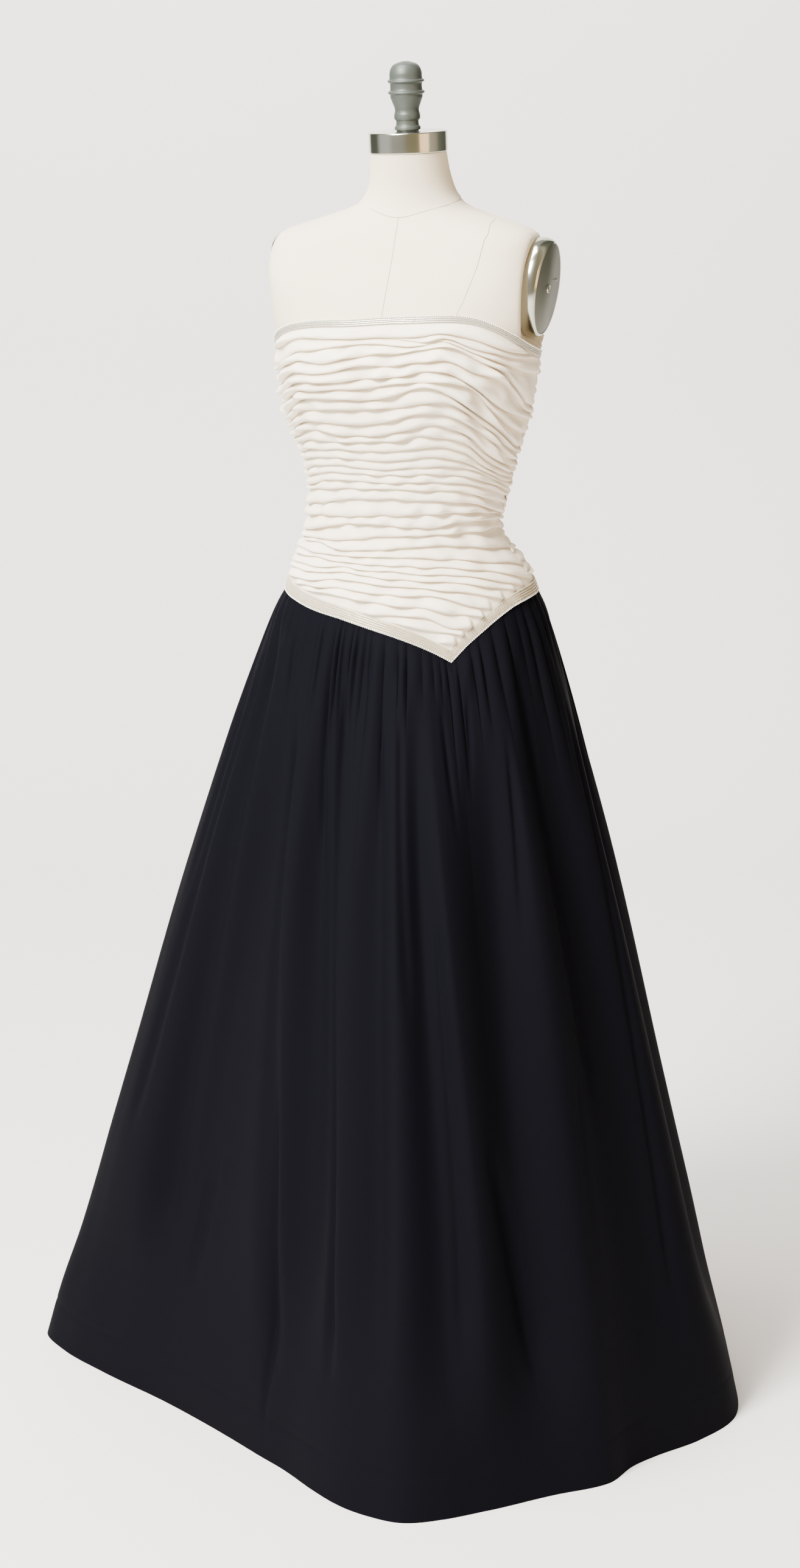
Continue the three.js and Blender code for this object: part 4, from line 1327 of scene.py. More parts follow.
@dataclass
class BeadString:
    """Beads to be set on a tape: their middles, directions and kind, with a finish."""

    name: str
    bead: Bead
    finish: Finish
    radius: float
    length: float
    middles: list[Array] = field(default_factory=list)
    along: list[Array] = field(default_factory=list)
    out: list[Array] = field(default_factory=list)

    def lay(self, middles: Array, along: Array, out: Array) -> None:
        """Adds beads.

        Args:
            middles: their middles, in millimetres.
            along: the directions of their holes.
            out: the directions out of the tape.
        """
        self.middles.append(middles)
        self.along.append(along)
        self.out.append(out)

    def tree(self, material: bpy.types.Material) -> bpy.types.NodeTree:
        """Builds the nodes that set a bead on each point, with named inputs for its sizes.

        Args:
            material: the beads' finish.

        Returns:
            The node tree.
        """
        tree = bpy.data.node_groups.new(self.name, "GeometryNodeTree")
        tree.interface.new_socket("Geometry", in_out="OUTPUT", socket_type="NodeSocketGeometry")
        tree.interface.new_socket("Geometry", in_out="INPUT", socket_type="NodeSocketGeometry")
        for size in ("Bead radius", "Bead length"):
            tree.interface.new_socket(size, in_out="INPUT", socket_type="NodeSocketFloat")
        start = add_node(tree, "NodeGroupInput").outputs
        if self.bead is Bead.BUGLE:
            sizes = {"Vertices": 8, "Radius": start["Bead radius"], "Depth": start["Bead length"]}
            bead = add_node(tree, "GeometryNodeMeshCylinder", inputs=sizes)
        else:
            sizes = {"Segments": 8, "Rings": 5, "Radius": start["Bead radius"]}
            bead = add_node(tree, "GeometryNodeMeshUVSphere", inputs=sizes)
        named = {
            name: add_node(
                tree, "GeometryNodeInputNamedAttribute", {"data_type": "FLOAT_VECTOR"}, {"Name": name}
            ).outputs["Attribute"]
            for name in ("along", "out")
        }
        align = "FunctionNodeAlignRotationToVector"
        facing = add_node(tree, align, {"axis": "Z"}, {"Vector": named["along"]})
        turned = {"Rotation": facing.outputs["Rotation"], "Vector": named["out"]}
        upright = add_node(tree, align, {"axis": "X", "pivot_axis": "Z"}, turned)
        sizes = {0: (0.88, 0.88, 0.9), 1: (1.1, 1.1, 1.04), "Seed": SEED}
        uneven = add_node(tree, "FunctionNodeRandomValue", {"data_type": "FLOAT_VECTOR"}, sizes)
        laid = {
            "Points": start["Geometry"],
            "Instance": bead.outputs["Mesh"],
            "Rotation": upright.outputs["Rotation"],
            "Scale": uneven.outputs[0],
        }
        beads = add_node(tree, "GeometryNodeInstanceOnPoints", inputs=laid).outputs["Instances"]
        real = add_node(tree, "GeometryNodeRealizeInstances", inputs={"Geometry": beads})
        finished = {"Geometry": real.outputs["Geometry"], "Material": material}
        dressed = add_node(tree, "GeometryNodeSetMaterial", inputs=finished)
        add_node(tree, "NodeGroupOutput", inputs={"Geometry": dressed.outputs["Geometry"]})
        return tree

    def build(self) -> bpy.types.Object:
        """Makes all the beads one plain mesh.

        Returns:
            The object.
        """
        material = self.finish.build()
        points = np.concatenate(self.middles) * MM
        mesh = bpy.data.meshes.new(self.name)
        mesh.from_pydata(points.tolist(), [], [])
        for name, values in (("along", self.along), ("out", self.out)):
            attribute = mesh.attributes.new(name, "FLOAT_VECTOR", "POINT")
            attribute.data.foreach_set("vector", np.concatenate(values).astype(np.float32).ravel())
        piece = in_scene(self.name, mesh)
        tree = self.tree(material)
        modifier = piece.modifiers.new("beads", "NODES")
        modifier.node_group = tree
        sizes = {"Bead radius": self.radius * MM, "Bead length": self.length * MM}
        for item in tree.interface.items_tree:
            if item.in_out == "INPUT" and item.name in sizes:
                modifier[item.identifier] = sizes[item.name]
        graph = bpy.context.evaluated_depsgraph_get()
        real = bpy.data.meshes.new_from_object(piece.evaluated_get(graph), depsgraph=graph)
        piece.modifiers.clear()
        piece.data = real
        real.shade_smooth()
        real.set_sharp_from_angle(angle=math.radians(50))
        return dress(piece, material, Slot.BEADING)


class Tape(NamedTuple):
    """A kind of tape: its place and cut width, its edges, its rows of beads and the row along one edge.

    Where it has bars, its rows turn into bars across it on the short side of the seam.
    """

    name: str
    cut: float
    high: Heights
    low: Heights
    bugles: Finish
    rows: tuple[float, ...]
    edging: str
    edging_at: float
    bars: bool


@dataclass
class BeadedTapes:
    """The beaded tapes on the top edge and over the seam, one of each for every panel."""

    base: float = 0.9
    bugle_radius: float = 0.6
    bugle_length: float = 2.2
    seed_radius: float = 1.0
    spacing: float = 2.5
    short_end: float = 76.0
    tapes: tuple[Tape, ...] = table(
        Tape,
        ("top", 10.0, EDGES.top, EDGES.top_tape_low, SILVER_BEAD, (0.3, 0.55, 0.8), "picots", 0.02, False),
        (
            *("waist", 14.5, EDGES.waist_tape_high, EDGES.foot, CHAMPAGNE_BEAD),
            *((0.1, 0.3, 0.5, 0.7, 0.9), "seeds", 0.99, True),
        ),
    )

    def band(self, panel: Panel, tape: Tape) -> bpy.types.Object:
        """Builds the net tape under the beads.

        Args:
            panel: the panel that it lies on.
            tape: its kind.

        Returns:
            The tape's object.
        """
        angle = Bodice().angles(panel)
        high, low = tape.high(angle), tape.low(angle)
        foot = EDGES.on_bodice
        outs = foot + np.array([0.0, 0.35, self.base, self.base, self.base, 0.35, 0.0])[:, None]
        shares = np.array([0.0, 0.0, 0.06, 0.5, 0.94, 1.0, 1.0])[:, None]
        outer = FORM.over(angle[None], mix(high, low, shares), outs)
        inner = FORM.over(angle[None], mix(high, low, np.array([0.02, 0.98])[:, None]), foot)
        shape = Shape()
        shape.wall(outer, inner)
        return shape.finish(f"{tape.name}_tape_{panel.name}", 60)

    def row(self, panel: Panel, tape: Tape, share: float, shift: float) -> tuple[Array, float]:
        """Evenly spaced places along a tape.

        Args:
            panel: the panel that it lies on.
            tape: its kind.
            share: how far down its height they lie.
            shift: how far the first is moved on, as a share of the spacing.

        Returns:
            The places as points with their directions, and the tape's length there.
        """
        angle = np.linspace(panel.start, panel.end, round((panel.end - panel.start) * 8) + 1)
        out = EDGES.on_bodice + self.base + 0.7 * self.bugle_radius
        points = FORM.over(angle, mix(tape.high(angle), tape.low(angle), share), out)
        steps = np.linalg.norm(np.diff(points, axis=0), axis=1)
        lengths = np.concatenate([[0], np.cumsum(steps)])
        at = np.arange(self.spacing * (0.5 + shift), lengths[-1] - 0.3 * self.spacing, self.spacing)
        line = np.column_stack([points, angle])
        return np.stack([np.interp(at, lengths, line[:, k]) for k in range(4)], axis=-1), lengths[-1]

    def directions(self, places: Array) -> tuple[Array, Array]:
        """The directions that a row of beads needs.

        Args:
            places: points with their directions round the form.

        Returns:
            The directions along the row, and those level out of the form.
        """
        along = unit(np.gradient(places[:, :3], axis=0))
        out = unit(np.cross(along, np.array([0.0, 0.0, -1.0])) * -1)
        outward = around(places[:, 3], 1.0, 0.0)
        out *= np.sign(np.sum(out * outward, axis=1, keepdims=True))
        return along, out

    def tape(self, panel: Panel, tape: Tape) -> None:
        """Builds a tape on a panel, with its beads.

        Args:
            panel: the panel.
            tape: the tape's kind.
        """
        name, size = panel.name, (self.bugle_radius, self.bugle_length)
        bugles = BeadString(f"{tape.name}_bugles_{name}", Bead.BUGLE, tape.bugles, *size)
        edging = BeadString(
            f"{tape.name}_{tape.edging}_{name}", Bead.SEED, MILK_BEAD, self.seed_radius, 0
        )
        for number, share in enumerate(tape.rows):
            places, _ = self.row(panel, tape, share, 0.2 * number)
            along, out = self.directions(places)
            bars = (places[:, 3] > EDGES.point_angle) & (places[:, 3] < self.short_end) & tape.bars
            bugles.lay(places[~bars, :3], along[~bars], out[~bars])
            bugles.lay(places[bars, :3], np.cross(along, out)[bars], out[bars])
        places, length = self.row(panel, tape, tape.edging_at, 0)
        edging.lay(places[:, :3], *self.directions(places))
        band = self.band(panel, tape)
        dress(band, NET.build(), Slot.BEADING, [f"{tape.name}_trim_{name}"])
        self.declare(band, [bugles.build(), edging.build()], tape.cut, length)

    def declare(
        self, tape: bpy.types.Object, beads: list[bpy.types.Object], height: float, length: float
    ) -> None:
        """States a tape's flat size to the frame.

        Args:
            tape: the tape's object.
            beads: the beads on it.
            height: how high it was cut.
            length: how long it was cut.
        """
        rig.sheet(tape, flat=(height * MM, length * MM), held=Hold.LAID.value, with_pieces=beads)

    def build(self) -> None:
        """Builds all six tapes."""
        for panel in PANELS:
            for tape in self.tapes:
                self.tape(panel, tape)


@dataclass
class Placket:
    """The lapped strip over the centre-back closing."""

    half_width: float = 8.0
    thickness: float = 1.6
    rows: int = 90
    columns: int = 15

    def build(self) -> None:
        """Builds the strip."""
        high = float(EDGES.top(180)) - EDGES.top_tape - 2 * EDGES.gap
        low = float(EDGES.seam(180)) + EDGES.waist_tape + 2 * EDGES.gap
        z = np.linspace(high, low, self.rows)[:, None]
        x = np.linspace(self.half_width, -self.half_width, self.columns)[None]
        foot = EDGES.on_bodice
        rounded = np.sqrt(np.clip(1 - (np.abs(x) / self.half_width) ** 8, 0.04, 1))
        puckers = 0.25 * Ripple(SEED, 9, 40)(z, x) * (1 - (x / self.half_width) ** 2)
        thick = self.thickness * rounded + puckers

        def face(out: Array) -> Array:
            """The strip's points, some way out from the form."""
            aside = np.stack(np.broadcast_arrays(x, 0 * z, 0.0), axis=-1)
            return FORM.over(180.0, z + 0 * x, out) + aside

        shape = Shape()
        shape.wall(face(foot + thick), face(foot + 0 * thick))
        strip = dress(shape.finish("closing_strip", 60), CREPE.build(), Slot.CREPE, ["back_placket"])
        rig.sheet(strip, flat=(0.018, (high - low) * MM), held=Hold.LAID.value)


# The skirt


class HemPlace(NamedTuple):
    """Where the hem lies on the floor below a direction of the seam."""

    at: float
    x: float
    y: float


class LargeFold(NamedTuple):
    """A large fold: directions of its crest and of the valley after it, and its sizes."""

    crest_top: float
    crest_hem: float
    valley_top: float
    valley_hem: float
    depth: float
    full: float
    end: float


class Crease(NamedTuple):
    """A soft crease: directions of its track at its top and end, the shares of the way down between which
    it lies, its half width in degrees and its depth."""

    top: float
    low: float
    start: float
    end: float
    width: float
    depth: float


@dataclass
class Skirt:
    """The gathered skirt: three panels with large folds and fine uneven gathers that run into them."""

    hem: tuple[HemPlace, ...] = table(
        HemPlace,
        (-180, -20, 428), (-158, -172, 404), (-136, -318, 322), (-115, -437, 204), (-100, -502, 90),
        (-91, -520, 6), (-84, -472, -46), (-76, -396, -93), (-66, -315, -139), (-52, -236, -186),
        (-35, -163, -232), (-18, -94, -280), (-6, -32, -327), (5, 34, -366), (14, 92, -375),
        (22, 140, -353), (30, 181, -316), (44, 247, -258), (55, 298, -211), (62, 313, -162),
        (70, 336, -125), (80, 376, -70), (92, 403, 10), (106, 380, 108), (128, 318, 246),
        (152, 186, 362), (180, -20, 428),
    )
    profile_down: tuple[float, ...] = (0, 0.02, 0.07, 0.19, 0.37, 0.6, 0.84, 0.93, 1)
    profile_out: tuple[float, ...] = (0, 0.034, 0.1, 0.24, 0.422, 0.625, 0.845, 0.938, 1)
    folds: tuple[LargeFold, ...] = table(
        LargeFold,
        (-170, -166, -156, -151, 22, 0, 0.92), (-142, -137, -128, -124, 24, 0, 0.9),
        (-114, -112, -100, -100, 18, 0, 0.88), (-68, -76, -51, -62, 28, 2, 0.86),
        (-34, -27, -24, -13, 24, 0, 0.86), (-6, -1, 4, 8, 18, 0, 0.86), (12, 14, 19, 23, 16, 0, 0.9),
        (26, 31, 46, 43, 30, 0, 0.94), (57, 60, 71, 77, 24, -2, 0.96), (84, 87, 98, 101, 20, -7, 0.92),
        (112, 113, 125, 127, 22, -7, 0.9), (139, 140, 152, 153, 24, 0, 0.9),
        (165, 167, 178, 181, 18, 0, 0.9),
    )
    drift_from: float = 0.12
    drift: float = 0.6
    grow: float = 0.34
    fade: float = 0.2
    fade_before: float = 0.16
    kept: float = 0.1
    turn: float = 0.05
    creases: tuple[Crease, ...] = table(
        Crease,
        (-35.5, -32, 0.52, 0.98, 0.9, 5.5), (-18, -9, 0.03, 0.88, 2.2, 10.0),
        (3.5, 5, 0.07, 0.25, 0.9, 4.0), (23.2, 22.2, 0.26, 0.84, 1.0, 4.5),
        (55.5, 51, 0.1, 0.38, 1.2, 5.0), (34, 49, 0.55, 0.9, 3.2, 8.0),
        (58.5, 55.5, 0.48, 0.81, 1.2, 3.5), (-49.5, -50, 0.64, 0.87, 1.1, 4.5),
        (87, 77, 0.1, 0.86, 1.4, 4.5), (-44, -31, 0.1, 0.93, 2.4, 10.0),
        (-27, -24, 0.03, 0.3, 1.3, 4.0), (12, 14.5, 0.04, 0.45, 1.5, 4.0),
        (30, 33, 0.03, 0.22, 1.2, 3.5), (-70, -60, 0.02, 0.84, 4.2, 17.0),
        (-76, -74, 0.05, 0.7, 1.6, 5.0), (-54, -52, 0.0, 0.16, 1.1, 4.5),
        (-50, -48.5, 0.0, 0.12, 0.9, 4.0), (66, 65, 0.04, 0.6, 2.6, 8.0),
        (43, 40, 0.02, 0.17, 1.2, 3.5), (-80, -78, 0.08, 0.4, 1.5, 3.5),
        (104, 100, 0.08, 0.55, 1.6, 4.0), (118, 120, 0.4, 0.9, 1.4, 4.0),
        (133, 131, 0.05, 0.35, 1.5, 3.5), (146, 148, 0.3, 0.86, 1.8, 4.5),
        (160, 158, 0.1, 0.5, 1.3, 3.5), (173, 171, 0.45, 0.9, 1.6, 4.0),
        (-172, -174, 0.06, 0.4, 1.5, 3.5), (-160, -162, 0.4, 0.9, 1.5, 4.5),
        (-149, -146, 0.08, 0.52, 1.4, 3.5), (-133, -134, 0.35, 0.87, 1.8, 4.5),
        (-120, -118, 0.05, 0.42, 1.4, 3.5), (-106, -108, 0.2, 0.8, 1.6, 4.0),
        (-95, -93, 0.42, 0.86, 1.5, 4.0),
    )
    crease_fade: float = 0.1
    gathers: int = 66
    gather_depth: float = 4.4
    gather_spaces: tuple[float, float] = (0.55, 1.45)
    gather_depths: tuple[float, float] = (0.45, 1.35)
    gather_least: float = 0.05
    gather_spread: float = 0.15
    gather_bias: float = 1.4
    gather_base: float = 0.85
    long_share: float = 0.16
    long_extra: tuple[float, float] = (0.1, 0.32)
    crest_round: float = 0.8
    crest_middle: float = 0.35
    gather_fade: float = 0.25
    seam_run: float = 0.035
    at_seam: float = 0.3
    thickness: float = 1.6
    rows: int = 84
    row_crowding: float = 1.3
    columns_each_degree: float = 2.7
    hem_rows: tuple[float, ...] = (0.058, 0.054, 0.05, 0.046, 0.042)
    hem_stitch_up: float = 50.0
    hem_stitch_wide: float = 2.4
    hem_stitch_depth: float = 0.7
    cut_round: float = 2.9
    cut_long: float = 1.06
    cut_share: float = 0.72

    def fold_places(self, down: Array) -> tuple[Array, Array, Array]:
        """The crests and valleys of the large folds some way down.

        Args:
            down: shares of the way down, one row for each.

        Returns:
            Their directions at the seam, their directions at each share, and how far out they stand.
        """
        down = np.asarray(down, float)[:, None]
        drift = eased((down - self.drift_from) / self.drift)
        tops = np.array([[f.crest_top, f.valley_top] for f in self.folds]).ravel()
        hems = np.array([[f.crest_hem, f.valley_hem] for f in self.folds]).ravel()
        outs = np.array([[f.full + f.depth / 2, f.full - f.depth / 2] for f in self.folds]).ravel()
        ends = np.repeat([f.end for f in self.folds], 2)
        faded = eased((down - ends + self.fade_before) / self.fade)
        size = eased(down / self.grow) * mix(1.0, self.kept, faded)
        places = mix(tops, hems, drift)
        tops = np.concatenate([[tops[-1] - 360], tops, [tops[0] + 360]])
        places = np.concatenate([places[:, -1:] - 360, places, places[:, :1] + 360], axis=1)
        outs = outs * size
        outs = np.concatenate([outs[:, -1:], outs, outs[:, :1]], axis=1)
        return tops, places, outs

    def large(self, track: Array, down: Array) -> tuple[Array, Array]:
        """The directions of tracks that run down with the large folds, and how far out they stand.

        Args:
            track: the tracks' directions at the seam.
            down: shares of the way down.

        Returns:
            Grids of directions and of distances out, a row for each share.
        """
        tops, places, outs = self.fold_places(down)
        i = np.clip(np.searchsorted(tops, track, side="right") - 1, 0, len(tops) - 2)
        t = (track - tops[i]) / (tops[i + 1] - tops[i])
        angle = mix(places[:, i], places[:, i + 1], t)
        return angle, mix(outs[:, i], outs[:, i + 1], eased(t))

    def small(self, track: Array, down: Array) -> Array:
        """The fine gathers: rounded crests between sharp valleys, of uneven length.

        Args:
            track: the tracks' directions at the seam.
            down: shares of the way down.

        Returns:
            How far out they stand, a row for each share.
        """
        draw = np.random.default_rng(SEED)
        spaces = draw.uniform(*self.gather_spaces, self.gathers)
        stops = -180 + 360 * np.concatenate([[0], np.cumsum(spaces)]) / spaces.sum()
        spread = self.gather_spread * draw.uniform(0, 1, self.gathers) ** self.gather_bias
        lengths = self.gather_least + spread
        longer = draw.uniform(0, 1, self.gathers) < self.long_share
        lengths += longer * draw.uniform(*self.long_extra, self.gathers)
        depths = self.gather_depth * draw.uniform(*self.gather_depths, self.gathers)
        depths = depths * (self.gather_base + lengths)
        i = np.clip(np.searchsorted(stops, wrapped(track), side="right") - 1, 0, self.gathers - 1)
        t = (wrapped(track) - stops[i]) / (stops[i + 1] - stops[i])
        crest = np.sin(math.pi * np.clip(t, 0, 1)) ** self.crest_round - self.crest_middle
        down = np.asarray(down)[:, None]
        fading = 1 - eased((down / lengths[i] - self.gather_fade) / (1 - self.gather_fade))
        start = mix(self.at_seam, 1.0, eased(down / self.seam_run))
        return crest * depths[i] * fading * start

    def creased(self, track: Array, down: Array) -> Array:
        """The listed creases.

        Args:
            track: the tracks' directions at the seam.
            down: shares of the way down.

        Returns:
            How far they draw the cloth in, as negative values, a row for each share.
        """
        down = np.asarray(down)[:, None]
        total = 0 * down * track
        for crease in self.creases:
            along = np.clip((down - crease.start) / (crease.end - crease.start), 0, 1)
            middle = mix(crease.top, crease.low, along)
            fading = eased((down - crease.start) / self.crease_fade)
            fading = fading * eased((crease.end - down) / self.crease_fade)
            near = (wrapped(track - middle) / crease.width) ** 2
            total = total - crease.depth * fading * np.exp(-near)
        return total

    def base(self, angle: Array, down: Array) -> Array:
        """The outer face before any fold.

        Args:
            angle: directions.
            down: shares of the way down.

        Returns:
            Its points, in millimetres.
        """
        hem = sorted(self.hem, key=lambda place: place.at)
        at = [place.at for place in hem]
        a = wrapped(angle)
        seam = EDGES.seam(angle) - EDGES.gap / 2
        waist = around(angle, FORM.radius(angle, seam) + EDGES.ease + EDGES.bodice_wall, 0.0)
        x, y = Line(at, [p.x for p in hem])(a), Line(at, [p.y for p in hem])(a)
        out = Line(self.profile_down, self.profile_out)(down)
        flat = np.stack([x, y], axis=-1)
        level = mix(waist[..., :2], flat, out[..., None])
        return np.concatenate([level, (seam * (1 - down))[..., None]], axis=-1)

    def outward(self, angle: Array, down: Array) -> Array:
        """Level directions out of the skirt: from the axis at the seam, square to the ring below.

        Args:
            angle: directions round the form.
            down: shares of the way down.

        Returns:
            The directions out, at length 1.
        """
        step = 0.4
        along = self.base(angle + step, down) - self.base(angle - step, down)
        along[..., 2] = 0
        along = unit(along)
        square = np.stack([along[..., 1], -along[..., 0], 0 * along[..., 0]], axis=-1)
        return unit(mix(around(angle, 1.0, 0.0), square, eased(down / self.turn)[..., None]))

    def hem_line(self, points: Array) -> Array:
        """How far in the stitched hem draws the cloth."""
        near = (points[..., 2] - self.hem_stitch_up) / self.hem_stitch_wide
        return -self.hem_stitch_depth * np.exp(-(near**2))

    def panel(self, panel: Panel, material: bpy.types.Material) -> None:
        """Builds one panel.

        Args:
            panel: its directions.
            material: its finish.
        """
        count = round((panel.end - panel.start) * self.columns_each_degree) + 1
        track = np.linspace(panel.start, panel.end, count)
        down = np.linspace(0, 1, self.rows) ** self.row_crowding
        down = np.unique(np.concatenate([down, 1 - np.array(self.hem_rows)]))
        angle, out = self.large(track, down)
        out = out + self.small(track, down) + self.creased(track, down)
        spread = down[:, None] + 0 * angle
        points = self.base(angle, spread)
        out = out + self.hem_line(points)
        outer = points + self.outward(angle, spread) * out[..., None]
        along = np.gradient(outer, axis=1)
        along[..., 2] = 0
        along = unit(along)
        inward = np.stack([-along[..., 1], along[..., 0], 0 * along[..., 0]], axis=-1)
        inner = outer + inward * self.thickness
        shape = Shape()
        shape.wall(outer, inner)
        piece = dress(
            shape.finish(f"gathered_{panel.name}", 60), material, Slot.TAFFETA, [f"skirt_{panel.name}"]
        )
        wide, long = self.cut_round * (panel.end - panel.start) / 360, self.cut_long
        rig.sheet(piece, flat=(wide, long), held=Hold.GATHERED.value, area=self.cut_share * wide * long)

    def build(self) -> None:
        """Builds the three panels."""
        material = TAFFETA.build()
        for panel in PANELS:
            self.panel(panel, material)


# The studio


class Lamp(NamedTuple):
    """A soft square lamp: where it stands and aims in metres, its side, power in watts and tint."""

    place: tuple[float, float, float]
    target: tuple[float, float, float]
    size: float
    power: float
    tint: str


@dataclass
class Studio:
    """The floor, wall, light and camera, worked out from where the hem and the form's parts lie."""

    lamps: dict[str, Lamp] = field(
        default_factory=lambda: {
            "window": Lamp((-1.25, -3.1, 3.9), (0.0, 0.0, 0.95), 1.5, 980, "#fffbf4"),
            "overhead": Lamp((-0.9, -0.7, 4.3), (0.0, 0.0, 0.6), 1.6, 250, "#ffffff"),
            "fill": Lamp((3.6, -1.6, 1.6), (0.0, 0.0, 0.95), 2.0, 40, "#ffd2a4"),
            "wall_wash": Lamp((-0.5, 1.6, 3.4), (-0.99, 3.04, 1.9), 1.6, 66, "#fff6f3"),
        }
    )
    bands: tuple[tuple[float, str], ...] = (
        *((-180, "#cfcac6"), (-156, "#cfcac6"), (-140, "#6f746a"), (-104, "#777b70"), (-88, "#ffffff")),
        *((-60, "#ffffff"), (-46, "#cdcbc4"), (-16, "#c3bfb6"), (-2, "#b3a684"), (24, "#b3a684")),
        *((38, "#cbbe9f"), (52, "#cbbe9f"), (66, "#f2e6d2"), (86, "#ddd0ba"), (102, "#8b8e80")),
        *((140, "#63675a"), (156, "#cfcac6"), (180, "#cfcac6")),
    )
    room_strength: float = 1.0
    seen_tint: str = "#f3efed"
    seen_strength: float = 2.6
    floor_half: float = 14.0
    paper_from: float = 0.9
    paper_radius: float = 0.9
    paper_back: float = 3.2
    paper_high: float = 5.0
    paper_half: float = 2.2
    paper_up: float = 1.0
    fade_from: float = 2.6
    fade_to: float = 6.5
    direction: float = 18.0
    distance: float = 3.9
    height: float = 1.82
    down: float = 14.9
    roll: float = 0.86
    picture_height: float = 2000.0
    picture_middle: float = 510.0
    axis_at: float = 529.0
    focal: float = 4260.0
    film: float = 36.0

    def camera(self) -> None:
        """Places the camera."""
        turn = math.radians(self.direction) + (self.axis_at - self.picture_middle) / self.focal
        away = math.radians(self.direction)
        down, roll = math.radians(self.down), math.radians(self.roll)
        level = np.array([-math.sin(turn), math.cos(turn), 0.0])
        right = np.array([math.cos(turn), math.sin(turn), 0.0])
        z = np.array([0.0, 0.0, 1.0])
        forward = level * math.cos(down) - z * math.sin(down)
        up = level * math.sin(down) + z * math.cos(down)
        across = right * math.cos(roll) - up * math.sin(roll)
        upright = right * math.sin(roll) + up * math.cos(roll)
        turned = Matrix(np.column_stack([across, upright, -forward]).tolist()).to_4x4()
        place = (self.distance * math.sin(away), -self.distance * math.cos(away), self.height)
        lens = bpy.data.cameras.new("camera")
        lens.sensor_fit = "VERTICAL"
        lens.sensor_height = self.film
        lens.lens = self.focal / self.picture_height * self.film
        lens.clip_end = 60
        camera = in_scene("camera", lens)
        camera.matrix_world = Matrix.Translation(place) @ turned
        bpy.context.scene.camera = camera

    def floor(self) -> None:
        """Builds the wide pale floor."""
        x = self.floor_half * np.array([[-1.0, 1.0], [-1.0, 1.0]])
        y = self.floor_half * np.array([[1.0, 1.0], [-1.0, -1.0]])
        shape = Shape()
        shape.cover(shape.place(np.stack([x, y, 0 * x], axis=-1) / MM))
        floor = shape.finish("floor", 80)
        floor.data.materials.append(self.faded(PAPER.build()))
        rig.stage(floor)

    def faded(self, material: bpy.types.Material) -> bpy.types.Material:
        """Lets a floor's material fade out far from the gown, so that no horizon shows in other views.

        Args:
            material: the material.

        Returns:
            The same material.
        """
        tree = material.node_tree
        place = add_node(tree, "ShaderNodeTexCoord").outputs["Object"]
        away = add_node(tree, "ShaderNodeVectorMath", {"operation": "LENGTH"}, {0: place})
        reach = {"Value": away.outputs["Value"], "From Min": self.fade_from, "From Max": self.fade_to}
        share = add_node(tree, "ShaderNodeMapRange", {"interpolation_type": "SMOOTHSTEP"}, reach)
        return self.cleared(material, share.outputs["Result"])

    def backdrop(self) -> None:
        """Builds the seamless paper behind the gown, which turns up from the floor into a wall."""
        radius, back = self.paper_radius, self.paper_back
        turn = np.radians(np.linspace(0, 90, 16))
        y = np.concatenate([[self.paper_from], back - radius + radius * np.sin(turn), [back]])
        rise = np.concatenate([[0], radius - radius * np.cos(turn), [self.paper_high]])
        z = rise + self.paper_up * MM
        x = np.array([-self.paper_half, self.paper_half])
        grid = np.stack(np.broadcast_arrays(x[None], y[:, None], z[:, None]), axis=-1)
        turned = Matrix.Rotation(math.radians(self.direction), 3, "Z")
        points = grid.reshape(-1, 3) @ np.array(turned).T / MM
        shape = Shape()
        numbers = shape.place(points.reshape(grid.shape))
        shape.cover(numbers, turned=True)
        paper = shape.finish("paper", 80)
        paper.data.materials.append(self.one_sided(PAPER.build()))
        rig.stage(paper)

    def one_sided(self, material: bpy.types.Material) -> bpy.types.Material:
        """Makes a material clear from behind, so that the gown can be looked at from all sides."""
        behind = add_node(material.node_tree, "ShaderNodeNewGeometry").outputs["Backfacing"]
        return self.cleared(material, behind)

    def cleared(self, material: bpy.types.Material, share: bpy.types.NodeSocket) -> bpy.types.Material:
        """Makes a material clear by a share that nodes work out.

        Args:
            material: the material.
            share: the node's output that gives the share.

        Returns:
            The same material.
        """
        tree = material.node_tree
        clear = add_node(tree, "ShaderNodeBsdfTransparent").outputs["BSDF"]
        paper = tree.nodes["Principled BSDF"].outputs["BSDF"]
        both = add_node(tree, "ShaderNodeMixShader", inputs={0: share, 1: paper, 2: clear})
        tree.links.new(both.outputs["Shader"], tree.nodes["Material Output"].inputs["Surface"])
        return material

    def lamp(self, name: str, lamp: Lamp) -> None:
        """Adds a soft square lamp that the camera itself doesn't see.

        Args:
            name: the lamp's name.
            lamp: its place, size and light.
        """
        light = bpy.data.lights.new(name, "AREA")
        light.shape = "SQUARE"
        light.size = lamp.size
        light.energy = lamp.power
        light.color = linear(lamp.tint)[:3]
        piece = in_scene(name, light)
        towards = unit(np.array(lamp.target) - np.array(lamp.place))
        right = unit(np.cross(towards, [0.0, 0.0, 1.0]))
        turned = Matrix(np.column_stack([right, np.cross(right, towards), -towards]).tolist()).to_4x4()
        piece.matrix_world = Matrix.Translation(lamp.place) @ turned
        piece.visible_camera = False

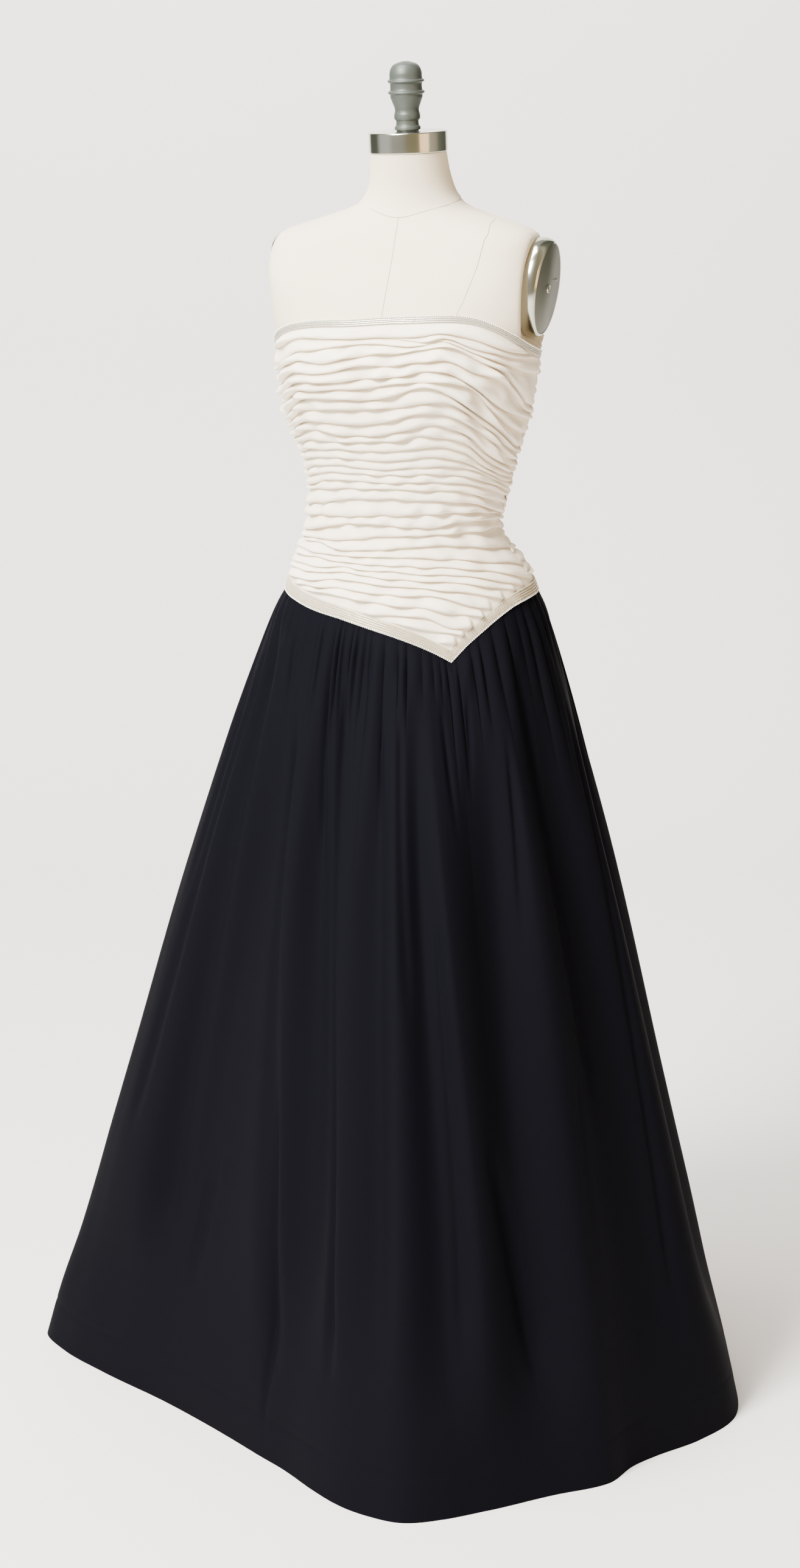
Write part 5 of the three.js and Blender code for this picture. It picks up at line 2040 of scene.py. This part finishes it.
    def room(self) -> None:
        """Lights the scene with a plain room: bands of wall and window, by direction from the camera's."""
        world = bpy.data.worlds.new("room")
        world.use_nodes = True
        tree = world.node_tree
        place = add_node(tree, "ShaderNodeTexCoord").outputs["Generated"]
        axes = add_node(tree, "ShaderNodeSeparateXYZ", inputs={"Vector": place})
        turn = axes.outputs["Y"]
        for operation, at, others in (
            ("MULTIPLY", 0, {1: -1.0}),
            ("ARCTAN2", 1, {0: axes.outputs["X"]}),
            ("SUBTRACT", 0, {1: math.radians(self.direction)}),
            ("MULTIPLY_ADD", 0, {1: 0.5 / math.pi, 2: 0.5}),
            ("FRACT", 0, {}),
        ):
            values = {at: turn, **others}
            turn = add_node(tree, "ShaderNodeMath", {"operation": operation}, values).outputs["Value"]
        ramp = add_node(tree, "ShaderNodeValToRGB", inputs={"Fac": turn})
        stops = ramp.color_ramp.elements
        for number, (at, tint) in enumerate(self.bands):
            stop = stops[number] if number < 2 else stops.new(at / 360 + 0.5)
            stop.position = at / 360 + 0.5
            stop.color = linear(tint)
        light, seen = (
            add_node(tree, "ShaderNodeBackground", inputs={"Color": color, "Strength": strength})
            for color, strength in (
                (ramp.outputs["Color"], self.room_strength),
                (linear(self.seen_tint), self.seen_strength),
            )
        )
        ray = add_node(tree, "ShaderNodeLightPath").outputs["Is Camera Ray"]
        shown = {0: ray, 1: light.outputs["Background"], 2: seen.outputs["Background"]}
        both = add_node(tree, "ShaderNodeMixShader", inputs=shown)
        tree.links.new(both.outputs["Shader"], tree.nodes["World Output"].inputs["Surface"])
        bpy.context.scene.world = world

    def build(self) -> None:
        """Sets up the whole studio."""
        self.camera()
        self.floor()
        self.backdrop()
        for name, lamp in self.lamps.items():
            self.lamp(name, lamp)
        self.room()


def main() -> None:
    """Builds every sub-assembly in order and records the size."""
    for part in (Studio(), DressForm(), Stand(), Bodice(), BeadedTapes(), Placket(), Skirt()):
        log.info("building %s", type(part).__name__)
        part.build()
    with open("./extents.json", "w", encoding="utf-8") as out:
        boxes = {"cad": CAD_BOX, "visual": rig.bounds()}
        json.dump({name: [list(corner) for corner in box] for name, box in boxes.items()}, out)


if __name__ == "__main__":
    main()
